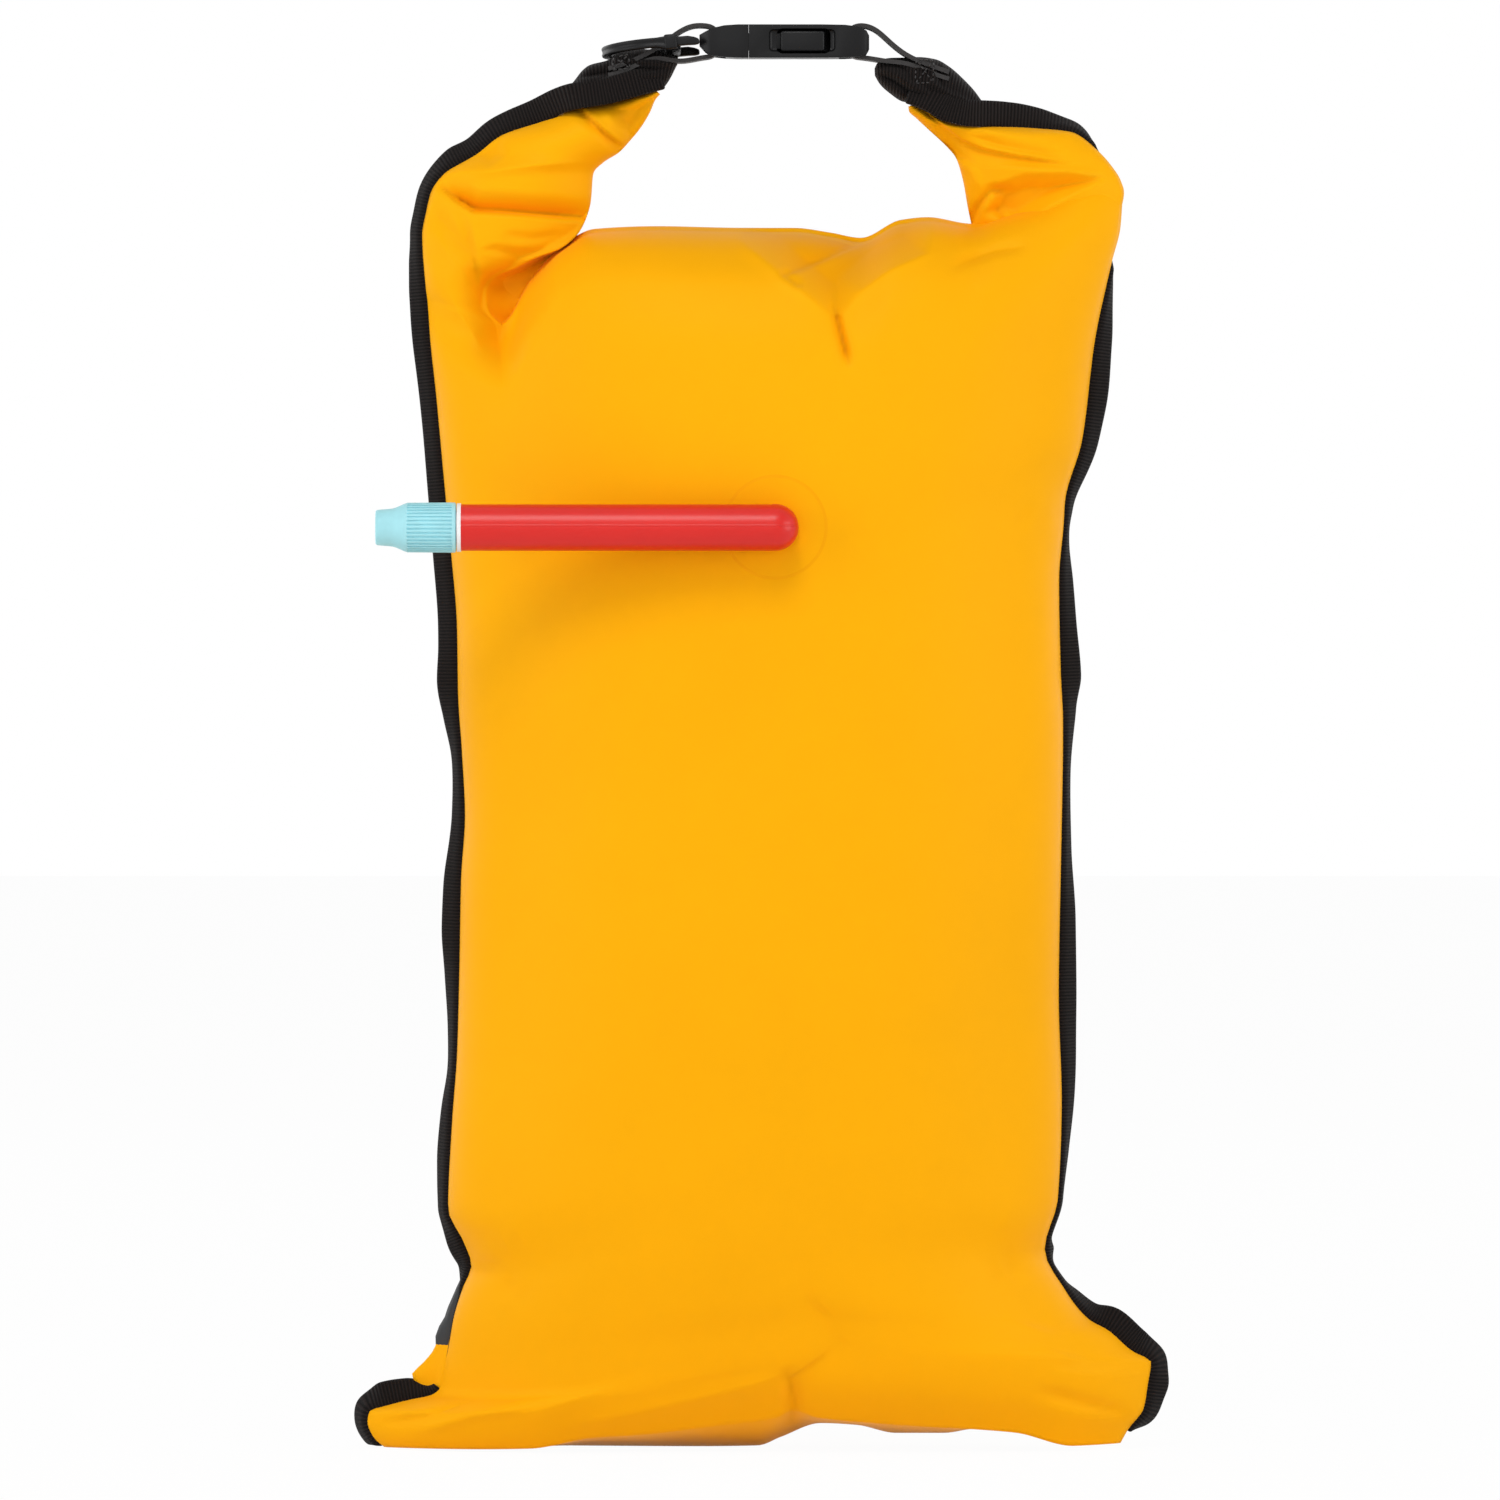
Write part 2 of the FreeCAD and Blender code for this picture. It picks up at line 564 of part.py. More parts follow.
# ---- D-ring ---------------------------------------------------------------
ring_radius = RING_THICK / 2
ring_inner = WEB_WIDTH / 2 + RING_SIDE_GAP
ring_x = BUCKLE_X - RING_REACH
lower_strand = buckle_z - LOWER_STRAND + WEB_THICK / 2
ring_z = lower_strand + SOFT_GAP + ring_radius


def ring_corner(y):
    """The ball at one end of the straight bar."""
    return Part.makeSphere(ring_radius, Vec(0, y, 0))


ring_line = ring_inner + ring_radius
ring = Part.makeTorus(ring_line, ring_radius).common(block(-FAR, 0, -FAR, FAR, -FAR, FAR))
ring.translate(Vec(-RING_LEG, 0, 0))
ring = ring.multiFuse([
    rod(ring_radius, (0, -ring_line, 0), (0, 1, 0), 2 * ring_line),
    rod(ring_radius, (0, -ring_line, 0), (-1, 0, 0), RING_LEG),
    rod(ring_radius, (0, ring_line, 0), (-1, 0, 0), RING_LEG),
    ring_corner(-ring_line),
    ring_corner(ring_line),
])
ring.rotate(Vec(0, 0, 0), Vec(0, 1, 0), RING_TILT)
ring.translate(Vec(ring_x, 0, ring_z))
save(ring, "d_ring")


# ---- collar arms, their bindings and the black bands at their tips --------
def bundle(sections, grow=0.0):
    """A soft form through slices, each from a low to a high point, with a half depth."""
    wires = []
    for low, high, depth in sections:
        middle, half = (low + high) / 2, (high - low) / 2
        half = half + half / half.Length * grow
        points = []
        for i in range(SECTION_STEPS):
            turn = 2 * math.pi * i / SECTION_STEPS
            flat = math.copysign(abs(math.sin(turn)) ** SECTION_SQUARENESS, math.sin(turn))
            depth_here = Vec(0, (depth + grow) * flat, 0)
            points.append(middle + half * math.cos(turn) + depth_here)
        wires.append(closed_curve(points))
    return Part.makeLoft(wires, True, False)


# A section is a low point, a high point and a half depth. At the foot, low counts
# outwards from the end of the collar's straight middle and high from the side seam,
# both upwards from the shoulder. At the tip, both count from the webbing bar.
LEFT_FOOT = (
    ((1.0, ARM_GAP), (0.0, ARM_GAP), ARM_DEPTH),
    ((0.7, 5.8), (0.0, 7.5), ARM_DEPTH),
    ((-6.0, 14.0), (-1.8, 17.0), ARM_DEPTH),
    ((-10.2, 23.0), (-5.1, 29.0), ARM_DEPTH),
)
LEFT_TIP = (
    ((40.0, -47.0), (86.5, -36.0), ARM_DEPTH),
    ((30.5, -38.5), (68.5, -28.5), ARM_DEPTH - 1),
    ((22.0, -28.0), (48.5, -22.5), ARM_DEPTH - 2),
    ((19.5, -21.0), (34.5, -17.5), ARM_DEPTH - 4),
)
LEFT_BAND = (
    ((53.5, -26.1), (55.0, -18.8), ARM_DEPTH - 6),
    ((38.5, -23.6), (41.5, -9.4), ARM_DEPTH - 1),
    ((26.5, -21.1), (28.5, -5.4), ARM_DEPTH - 0.5),
    ((18.0, -18.7), (18.5, -5.2), ARM_DEPTH - 0.5),
    ((14.0, -16.0), (12.0, -7.5), ARM_DEPTH - 2),
)
RIGHT_FOOT = (
    ((1.2, ARM_GAP), (0.1, ARM_GAP), ARM_DEPTH),
    ((0.6, 7.0), (2.6, 7.0), ARM_DEPTH),
    ((-1.0, 17.0), (3.6, 17.0), ARM_DEPTH),
    ((-3.0, 26.0), (1.6, 28.0), ARM_DEPTH),
)
RIGHT_TIP = (
    ((34.6, -42.5), (83.1, -36.5), ARM_DEPTH),
    ((27.1, -34.5), (63.1, -32.0), ARM_DEPTH - 1),
    ((20.6, -28.0), (42.1, -28.0), ARM_DEPTH - 3),
    ((18.1, -23.0), (28.1, -22.0), ARM_DEPTH - 5),
)
RIGHT_BAND = (
    ((43.1, -31.1), (44.1, -20.0), ARM_DEPTH - 6),
    ((32.1, -29.8), (34.1, -10.0), ARM_DEPTH - 1),
    ((23.1, -26.4), (25.1, -6.0), ARM_DEPTH - 0.5),
    ((15.6, -23.1), (16.6, -5.7), ARM_DEPTH - 0.5),
    ((9.6, -18.5), (8.1, -9.2), ARM_DEPTH - 2),
)

# The arm's tape: inner and outer line, at the foot from the side seam and at the
# tip from the webbing bar.
LEFT_TAPE_FOOT = (
    ((0.4, ARM_GAP), (5.1, ARM_GAP)),
    ((-2.1, 17.0), (2.5, 17.0)),
    ((-6.1, 32.0), (-5.5, 35.0)),
)
LEFT_TAPE_TIP = (
    ((86.0, -35.2), (87.0, -32.2)),
    ((75.5, -29.8), (77.0, -26.8)),
    ((63.0, -25.8), (64.0, -21.2)),
    ((55.0, -22.5), (56.5, -18.4)),
)
RIGHT_TAPE_TIP = (
    ((43.6, -31.6), (44.6, -22.0)),
    ((53.1, -31.4), (54.6, -22.8)),
    ((68.1, -32.2), (67.1, -25.2)),
    ((77.1, -32.6), (79.6, -31.0)),
    ((83.6, -38.5), (85.6, -38.0)),
)

# A bar tack's nearest and furthest reach out from the webbing bar, and its lowest
# and highest point from there.
LEFT_TACK = (27.5, 34.5, -21.0, -13.8)
RIGHT_TACK = (20.6, 28.1, -24.5, -16.6)


def from_collar(side, point):
    """A place counted from the end of the collar's straight middle."""
    reach = COLLAR_LEFT if side < 0 else COLLAR_RIGHT
    return Vec(side * (reach + point[0]), 0, shoulder_z + point[1])


def from_seam(side, point):
    """A place counted from the side seam at the shoulder."""
    reach = slice_share(shoulder_z, LEFT if side < 0 else RIGHT) * BODY_WIDTH / 2
    return Vec(side * (reach + point[0]), 0, shoulder_z + point[1])


def from_bar(side, point):
    """A place counted from a webbing bar."""
    return Vec(BUCKLE_X + side * (BAR_REACH + point[0]), 0, buckle_z + point[1])


def foot_sections(side, rows):
    """An arm's sections by the shoulder."""
    return [(from_collar(side, low), from_seam(side, high), depth) for low, high, depth in rows]


def tip_sections(side, rows):
    """An arm's or a band's sections by the buckle."""
    return [(from_bar(side, low), from_bar(side, high), depth) for low, high, depth in rows]


def tape(side, foot, tip):
    """The tape that binds an arm's outer edge."""
    inner = [from_seam(side, row[0]) for row in foot] + [from_bar(side, row[0]) for row in tip]
    outer = [from_seam(side, row[1]) for row in foot] + [from_bar(side, row[1]) for row in tip]
    return strip(inner, outer, BINDING_THICK)


def tack_zone(side, reach):
    """The block that a bar tack is kept to, on the front."""
    near, far = from_bar(side, (reach[0], reach[2])), from_bar(side, (reach[1], reach[3]))
    return block(min(near.x, far.x), max(near.x, far.x), -FAR, 0, near.z, far.z)


ARMS = (
    ("left", -1, LEFT_FOOT, LEFT_TIP, LEFT_BAND, LEFT_TAPE_FOOT, LEFT_TAPE_TIP, LEFT_TACK),
    ("right", 1, RIGHT_FOOT, RIGHT_TIP, RIGHT_BAND, (), RIGHT_TAPE_TIP, RIGHT_TACK),
)
for name, side, foot, tip, band, tape_foot, tape_tip, tack in ARMS:
    band_form = bundle(tip_sections(side, band))
    arm = bundle(foot_sections(side, foot) + tip_sections(side, tip)).cut(band_form)
    tack_form = bundle(tip_sections(side, band), TACK_THICK).cut(band_form)
    tack_form = tack_form.cut(loops[name]).cut(arm)
    save(arm, "collar_arm_" + name)
    save(band_form.cut(loops[name]), "mouth_band_" + name)
    save(tape(side, tape_foot, tape_tip).cut(arm).cut(band_form), "arm_binding_" + name)
    save(tack_form.common(tack_zone(side, tack)), "bar_tack_" + name)
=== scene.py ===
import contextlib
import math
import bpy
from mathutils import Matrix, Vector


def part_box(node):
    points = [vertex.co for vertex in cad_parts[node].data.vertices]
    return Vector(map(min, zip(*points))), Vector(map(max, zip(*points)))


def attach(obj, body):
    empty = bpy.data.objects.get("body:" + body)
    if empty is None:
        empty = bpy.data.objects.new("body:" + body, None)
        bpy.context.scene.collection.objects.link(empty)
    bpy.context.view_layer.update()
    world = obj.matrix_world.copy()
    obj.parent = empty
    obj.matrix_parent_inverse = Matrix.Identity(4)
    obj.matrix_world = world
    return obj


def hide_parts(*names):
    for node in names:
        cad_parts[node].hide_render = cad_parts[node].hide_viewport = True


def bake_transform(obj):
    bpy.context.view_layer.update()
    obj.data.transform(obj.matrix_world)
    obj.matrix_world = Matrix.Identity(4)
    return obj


bl_info = {
    "name": "Inflatable Dry Bag",
    "version": (1, 0, 0),
    "blender": (4, 5, 0),
    "location": "3D Viewport > Sidebar > Dry Bag",
    "description": "Dresses the dry bag: fabric, bindings, buckle, tube, valve and stage",
    "category": "Object",
}

import bmesh
import bpy
import numpy as np
from bpy.props import FloatProperty, FloatVectorProperty, IntProperty, PointerProperty
from mathutils import Vector

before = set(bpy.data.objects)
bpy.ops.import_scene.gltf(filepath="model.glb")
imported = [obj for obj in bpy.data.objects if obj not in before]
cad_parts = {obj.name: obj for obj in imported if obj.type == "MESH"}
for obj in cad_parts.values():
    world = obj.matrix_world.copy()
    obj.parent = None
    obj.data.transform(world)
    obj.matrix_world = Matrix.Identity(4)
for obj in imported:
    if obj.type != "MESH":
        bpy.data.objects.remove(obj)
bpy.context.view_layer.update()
MM = 0.001
WAVE_SCALE = 0.314      # a wave texture of this scale has one band in a metre
THREAD_RADIUS = 0.30      # of the stitches, in millimetres
CLOTH_WIDTH, CLOTH_HEIGHT, ARM_END = 250, 460, 590      # where the flat cloth ends, across and up

# Heights, half widths and outlines below are in millimetres, as on a cutting plan:
# X to the right, Z up from the floor, Y back from the seams.

# Left and right edge of the front: share of the height, X, Z.
LEFT_EDGE = (
    (0, -141.8, 0), (0.008, -145.9, 3.5), (0.02, -148.4, 9.5), (0.03, -147.6, 13.5), (0.038, -141, 15.8),
    (0.046, -132, 18), (0.054, -124.5, 19.5), (0.062, -120.8, 22.5), (0.078, -118.4, 33), (0.105, -115.6, 49),
    (0.13, -112.2, 60), (0.15, -109.1, 68.3), (0.17, -112, 77), (0.196, -117.8, 89.6), (0.268, -116.3, 122.3),
    (0.324, -114.4, 147.8), (0.388, -113.6, 177), (0.468, -112.9, 213.4), (0.52, -111.4, 237),
    (0.572, -112.5, 260.6), (0.619, -114, 282.4), (0.675, -114.4, 307.9), (0.736, -116.6, 335.6),
    (0.788, -118.9, 359.3), (0.87, -122.3, 396), (0.93, -124.4, 415), (1, -125.6, 430),
)
RIGHT_EDGE = (
    (0, 134.6, 1.5), (0.012, 137.6, 6.8), (0.028, 143.6, 14.3), (0.045, 145.3, 23), (0.06, 146.4, 31.9),
    (0.068, 139.1, 36.4), (0.08, 130.5, 43.9), (0.092, 123, 48), (0.112, 113.6, 59.3), (0.14, 106.1, 74.3),
    (0.175, 111, 93), (0.25, 112.5, 130.5), (0.33, 111.4, 169.5), (0.43, 112.1, 216), (0.55, 112.9, 271.9),
    (0.59, 112.1, 291.4), (0.665, 111.4, 325.5), (0.708, 113.1, 347), (0.724, 113.5, 354.4), (0.775, 120, 377.6),
    (0.86, 124.9, 415.5), (0.925, 130.9, 444), (0.963, 134.3, 457.9), (1, 135.2, 471),
)
# The lowest edge, the crease above it and the fold at the top: share of the width, X, Z.
FOOT_EDGE = (
    (0, -141.8, 0), (0.2, -86.6, 0.6), (0.426, -24, 0.3), (0.507, -1.5, 0.6), (0.539, 7.1, 3.8), (0.593, 22.1, 9),
    (0.642, 35.6, 8.3), (0.695, 50.3, 5.3), (0.76, 68.3, 5.3), (0.813, 82.9, 7.5), (0.856, 94.9, 6.4),
    (0.936, 117, 0.9), (1, 134.6, 1.5),
)
FOOT_CREASE = (
    (0, -141.8, 0.1), (0.2, -86.6, 1.2), (0.284, -63.4, 5.6), (0.346, -46.1, 6.8), (0.453, -16.5, 10.5),
    (0.533, 5.6, 13.6), (0.555, 11.6, 16.1), (0.588, 20.6, 13.2), (0.695, 50.3, 10.5), (0.802, 79.9, 8.4),
    (0.856, 94.9, 6.9), (0.936, 117, 1.4), (1, 134.6, 1.6),
)
TOP_FOLD = (
    (0, -125.6, 430), (0.06, -110.5, 424.5), (0.1075, -97.5, 420.8), (0.148, -87, 436), (0.195, -74.6, 449.6),
    (0.241, -62.6, 455.6), (0.33, -39, 456.6), (0.45, -8, 456), (0.526, 12, 456), (0.58, 26, 454.2),
    (0.622, 37.1, 452.3), (0.679, 52, 459), (0.718, 62, 460), (0.782, 78.8, 457.5), (0.821, 89, 461),
    (0.876, 103.5, 465.4), (0.968, 127.5, 474.4), (1, 135.2, 471),
)
POCKET_SHARE, POCKET_END = 0.1075, 0.195      # where the left arm leaves the body and the pocket ends
POCKET_MOUTH = (-74.6, 450.0)                 # where the arm's inner edge passes the fold: X, Z
# Share of the height, front and back depth, squareness and point of the slice.
DEPTHS = (
    (0, 27, 25, 3.5, 0.85), (0.03, 37, 36, 3.5, 0.9), (0.066, 43, 44, 3.1, 0.85), (0.105, 50, 50, 2.6, 0.72),
    (0.155, 54.5, 54, 2.4, 0.62), (0.22, 57.5, 57, 2.3, 0.57), (0.32, 59, 58, 2.2, 0.55),
    (0.53, 60, 58, 2.2, 0.55), (0.74, 59, 57, 2.2, 0.55), (0.865, 54, 50, 2.3, 0.58), (0.925, 45, 38, 2.4, 0.62),
    (0.96, 34.5, 26, 2.5, 0.66), (0.984, 23, 17, 2.5, 0.7), (0.996, 11, 13, 2.5, 0.75), (1, 3, 12, 2.5, 0.75),
)
# How far the back bulges out past the left seam: Z, then the move along X.
LEFT_OVERHANG = (
    (0, 0), (15, 0), (22, -9.5), (27, -13.2), (31, -10.4), (36, -7.6), (51, -4.6), (60, -3.6), (66, -3.4),
    (76, -1), (84, 0), (600, 0),
)
# Creases on the front: reach on the left of the line and on its right, depth (below zero
# stands out), then X, Z along the line.
FRONT_FOLDS = (
    (3.4, 2.8, 5.6, (26.2, 430), (27.6, 424), (29, 418), (30.6, 412), (32.4, 405)),
    (3, 2, 3, (6, 441.5), (10.3, 438.1), (15, 434.5)),
    (11, 0.8, 4.6, (6, 438.5), (15.3, 442), (30.2, 448.7), (37.1, 451.8), (43, 455)),
    (8, 5, -1.4, (-14, 457), (-8.3, 452), (7.8, 438.8), (25.3, 425.1), (27, 421)),
    (5, 9, -1.4, (68, 449), (60, 446.9), (45.2, 440), (35.8, 432.6), (31.2, 426)),
    (5, 3.5, 2.4, (69, 440.5), (76.5, 445), (86.8, 448.7), (100, 450.5)),
    (7, 7, -1.8, (-122, 434), (-112, 424), (-104, 411)),
    (5, 8, 1.8, (-106, 436), (-100, 422), (-97, 408)),
    (3, 4.5, 2.2, (-112, 69.5), (-98, 66), (-84, 58)),
    (5, 4, -1.4, (-112, 72), (-100, 75), (-88, 84)),
    (4, 3, 2.2, (110, 76), (96, 72), (82, 64)),
    (5, 4, -1.2, (110, 80), (97, 84), (86, 92)),
    (2.6, 3.4, 1.8, (116, 352), (104, 349), (90, 351)),
    (3, 4, 2, (148, 31), (128, 31.5), (106, 34)),
    (5, 5, 2.2, (141, 12), (124, 17), (100, 24)),
    (3, 5, 1.8, (-147, 9), (-126, 12.5), (-102, 21)),
    (6, 4, -1.6, (-132, 6), (-108, 14), (-84, 18)),
    (6, 9, -1.4, (-80, 9), (-40, 17), (0, 27), (16, 34)),
    (5, 5, 2.4, (11, 10), (12, 20), (8, 34)),
)
# Flat-sided hollows: depth, width of their slopes, then the outline.
FRONT_DENTS = (
    (9, 10, (-9, 453.5), (8, 439), (25.6, 424.6), (30.6, 425.6), (36, 432.6), (46, 440.4), (62, 447.5), (66, 470),
     (-6, 470)),
)

# Arms: outer X, Z, inner X, Z, half depth, how far the front of the inner edge stands out.
LEFT_ARM = (
    (-125.6, 430, -97.5, 420.8, 12, 8), (-126, 434, -102.6, 427, 12.2, 6.5),
    (-126.4, 438.5, -103.4, 433.5, 12.6, 4), (-126.8, 443, -100.6, 438.9, 13, 3),
    (-127.1, 446.5, -92.7, 442.3, 13.3, 5), (-127.3, 450.5, -85.5, 445.9, 13.6, 8),
    (-127.4, 455, -74.6, 450, 14, 8), (-126, 463, -67.4, 457.6, 14, 3), (-124, 471, -64.1, 467.4, 14, 0.5),
    (-119.5, 477.4, -63.2, 477.5, 13.5, 0.2), (-107.3, 484.9, -59.5, 481.8, 13, 0.2),
    (-97.9, 492, -53.6, 485.6, 12.5, 0.2), (-84, 496.9, -49.6, 489.8, 11.5, 0.2),
    (-70.5, 501.8, -45.2, 495.2, 10, 0.2), (-57, 504, -41.8, 501, 8, 0.2), (-46.4, 506.9, -40, 505.2, 5, 0.2),
    (-39.6, 508.8, -38.2, 507.4, 3, 0.2),
)
RIGHT_ARM = (
    (128, 440, 88, 436, 5, -6), (132, 456, 82, 447, 7, -5), (135.6, 470.5, 78.8, 457.5, 9, -3),
    (134.4, 475, 77, 465.5, 10.5, -0.5), (130.6, 481, 75.3, 475, 11, 0.5), (125, 487, 72.6, 483.6, 11, 0.2),
    (115.5, 493.4, 69.4, 487.6, 10.5, 0.2), (104, 494.6, 66.4, 490.5, 10, 0.2), (90.4, 495.4, 63.2, 493.4, 9, 0.2),
    (78, 495.6, 60.6, 495.8, 7.5, 0.2), (68, 497.6, 57.8, 498.4, 6, 0.2), (60.5, 501.8, 55, 501.2, 4, 0.2),
    (56.4, 503.5, 54.8, 502.8, 2, 0.2),
)
# Creases and hollows on the arms' fronts, as on the body's.
LEFT_ARM_FOLDS = (
    (8.5, 1.6, 9, (-124, 476), (-114.2, 468.4), (-107.1, 464), (-96, 463.4), (-84, 462.6), (-68, 461.2), (-58, 458)),
    (5, 4, -1.8, (-120, 478), (-102, 478.5), (-86, 480.5), (-66, 482)),
    (1.2, 5, 1.8, (-113, 464), (-109.5, 455), (-107.4, 446), (-106.6, 436), (-104, 430)),
    (6, 7, -2, (-124, 458), (-116, 447), (-108, 436), (-103, 426)),
    (4, 7, 2, (-124, 466), (-116, 456), (-108, 446)),
    (1.3, 4.5, 3.4, (-71.5, 506), (-63.5, 497.2), (-58.5, 492.6), (-50, 485.5)),
    (2.6, 2.6, -1.4, (-63, 499), (-57, 492.5), (-51, 487.5)),
    (3, 4.5, 1.6, (-98, 455), (-86, 453.5), (-74, 455.5)),
)
LEFT_ARM_DENTS = (
    (3.6, 4, (-60, 505), (-54.5, 494.5), (-49, 489.5), (-43, 500), (-40, 506)),
    (2, 3, (-110, 485), (-98, 492), (-95, 484.5), (-102, 479.5)),
    (2.4, 4, (-100, 446.5), (-92, 445), (-84, 449.5), (-100, 452), (-106, 449)),
)
RIGHT_ARM_FOLDS = (
    (0.9, 7, 3.2, (56, 505), (66.9, 495.9), (74.6, 489.7), (83, 486.3), (94.5, 484), (109.8, 481.7), (119, 480.6)),
    (4.5, 2.4, 2.2, (76, 492.5), (88, 488.4), (98.3, 486.4), (116, 483.6)),
    (3, 3, -1.5, (84, 480.4), (100, 479.2), (116, 478.6), (128.3, 476.8)),
    (2.5, 3, 3.4, (95, 471.5), (86, 471.8), (81, 465.5), (77.5, 456)),
    (1.6, 2.4, 2.6, (86.5, 466), (90, 462), (94, 455.5)),
    (3, 3, -1.6, (73, 484), (79, 478), (81.5, 471)),
    (3, 2.4, 1.6, (66, 491), (74, 484), (80, 480)),
)
RIGHT_ARM_DENTS = (
    (7, 5.5, (129, 476), (108, 465.5), (96, 458), (83, 462), (86, 473.5), (98, 477.8), (114, 478)),
)

# Side bindings: near which X, Z of the seam, how much of the tape shows outside it (below
# zero it is tucked in), and how far it lies ahead of the seam where it crosses a tip.
EAR_TAPE = (
    (-141.8, 0, 0.5), (-145.9, 3.5, 3.4), (-148.4, 9.5, 4.3), (-147.6, 13.5, 5.4), (-141, 15.8, 8.8),
    (-132, 18, 7.8), (-126, 19.2, 5.4), (-121.2, 22, 4.4),
)
LEFT_TAPE = (
    (-118.6, 32, -1.2), (-116.6, 43, -1.2), (-113.8, 54.8, -1), (-112.2, 60, 0.2), (-110.6, 64.6, 3.2),
    (-109.1, 68.3, 5), (-112, 77, 6.2), (-117.2, 88, 3.4), (-117.4, 100, 4), (-116.8, 112, 4.6), (-115.8, 127, 4),
    (-114.6, 142, 2.8), (-113.3, 156.8, 3.4), (-113.6, 177, 5.3), (-113.2, 195, 6.9), (-112.9, 210, 6.6),
    (-112, 225, 5.4), (-111.6, 239, 4.6), (-112.3, 256.9, 3.6), (-113.5, 273.4, 5.8), (-113.6, 288, 7.9),
    (-114, 300, 7.2), (-115.4, 320, 7), (-117, 340, 6.8), (-119, 360, 6.4), (-121, 382, 6.2), (-123, 404, 6.4),
    (-125, 420, 6.6), (-125.9, 431, 6.4), (-126.9, 443, 5.4), (-127.4, 453.8, 4.2), (-126.2, 463, 4.3),
    (-124.2, 471, 4.4), (-119.8, 477.3, 5.2), (-113, 480.8, 7), (-106.5, 485.4, 6.6), (-98.4, 491.4, 7.2),
    (-90, 494.9, 8.2), (-82, 497.4, 9, 1), (-76, 500.2, 9.6, 4), (-70, 502, 9.8, 9), (-62, 502.9, 9.8, 12.2),
    (-54, 503.8, 9.8, 13.2), (-46, 505.8, 9.8, 13.4), (-41, 507.2, 9.4, 13.2), (-36, 509.8, 8.6, 12.8),
)
RIGHT_TAPE = (
    (137, 6, 0.4), (138.6, 9, 2.4), (141.8, 12, 4.6), (144.5, 18, 6.2), (145.5, 24, 7.4), (146.4, 31.9, 5.8),
    (139.1, 36.4, 8.4), (130.5, 43.9, 8.6), (123, 50.5, 5.6), (118, 57.5, 3.2), (113.6, 62.4, 1), (109, 68, 0.8),
    (106.1, 74.3, 3), (107.6, 79, 1.2), (110.8, 93, 1.2), (112.2, 112, 2.6), (112.4, 130.5, 4.4),
    (111.6, 150, 5.8), (111.4, 169.5, 6.6), (111.9, 198, 5.8), (112.4, 225, 3.4), (112.8, 252, 2.4),
    (112.7, 277.1, 4.8), (112.2, 289.5, 7.6), (111.8, 308, 6.4), (111.5, 325.5, 5), (112.8, 345, 1.6),
    (113.6, 352, 2.6), (117.2, 367, 5), (120.8, 382.9, 6.4), (123, 397.1, 7.4), (125.4, 415, 6.4), (128, 430, 3.4),
    (130.6, 441, 0.4), (132.2, 449, -2.6), (134.3, 458, -2.8), (135.8, 472, -2.8), (130.6, 481, -2.6),
    (126, 486.2, -1.4), (122.8, 488.8, 0.6), (119, 491, 2.6), (112.6, 493.9, 4.8), (104, 494.4, 7.6),
    (94, 494.7, 9.2, 1.6), (86, 494.6, 9.7, 5), (78, 494.6, 9.8, 9.6), (71, 495.6, 9.8, 12.2),
    (65, 498.6, 9.8, 13), (60, 501.4, 9.4, 13.2), (53, 504.2, 8.4, 12.6),
)
# Around a binding's section: share of its width, then of its thickness.
TAPE_SECTION = (
    (-0.42, 0.3), (0, 0.6), (0.3, 0.54), (0.7, 0.52), (0.93, 0.44), (1, 0), (0.93, -0.44), (0.7, -0.52),
    (0.3, -0.54), (0, -0.6), (-0.42, -0.3), (-0.46, 0),
)


class BagSizes(bpy.types.PropertyGroup):
    shell_columns: IntProperty(name="Shell Columns", description="Faces across the body's cloth", default=160, min=40)
    shell_rows: IntProperty(name="Shell Rows", description="Faces up the body's cloth", default=200, min=40)
    arm_columns: IntProperty(name="Arm Columns", description="Faces across an arm's cloth", default=44, min=12)
    arm_rows: IntProperty(name="Arm Rows", description="Faces along an arm's cloth", default=110, min=24)
    tape_width: FloatProperty(
        name="Tape Width", description="Width of the folded binding on one side of the seam", default=0.0098,
        unit="LENGTH", min=0.002)
    tape_thickness: FloatProperty(
        name="Tape Thickness", description="Thickness of the folded binding", default=0.0026,
        unit="LENGTH", min=0.0005)
    rib_pitch: FloatProperty(
        name="Rib Pitch", description="Distance between two ribs of the tape", default=0.00125,
        unit="LENGTH", min=0.0002)
    weave_pitch: FloatProperty(
        name="Weave Pitch", description="Distance between two threads of the cloth", default=0.0006,
        unit="LENGTH", min=0.0001)
    stage_width: FloatProperty(
        name="Stage Width", description="Width of the floor", default=12.0, unit="LENGTH", min=1.0)


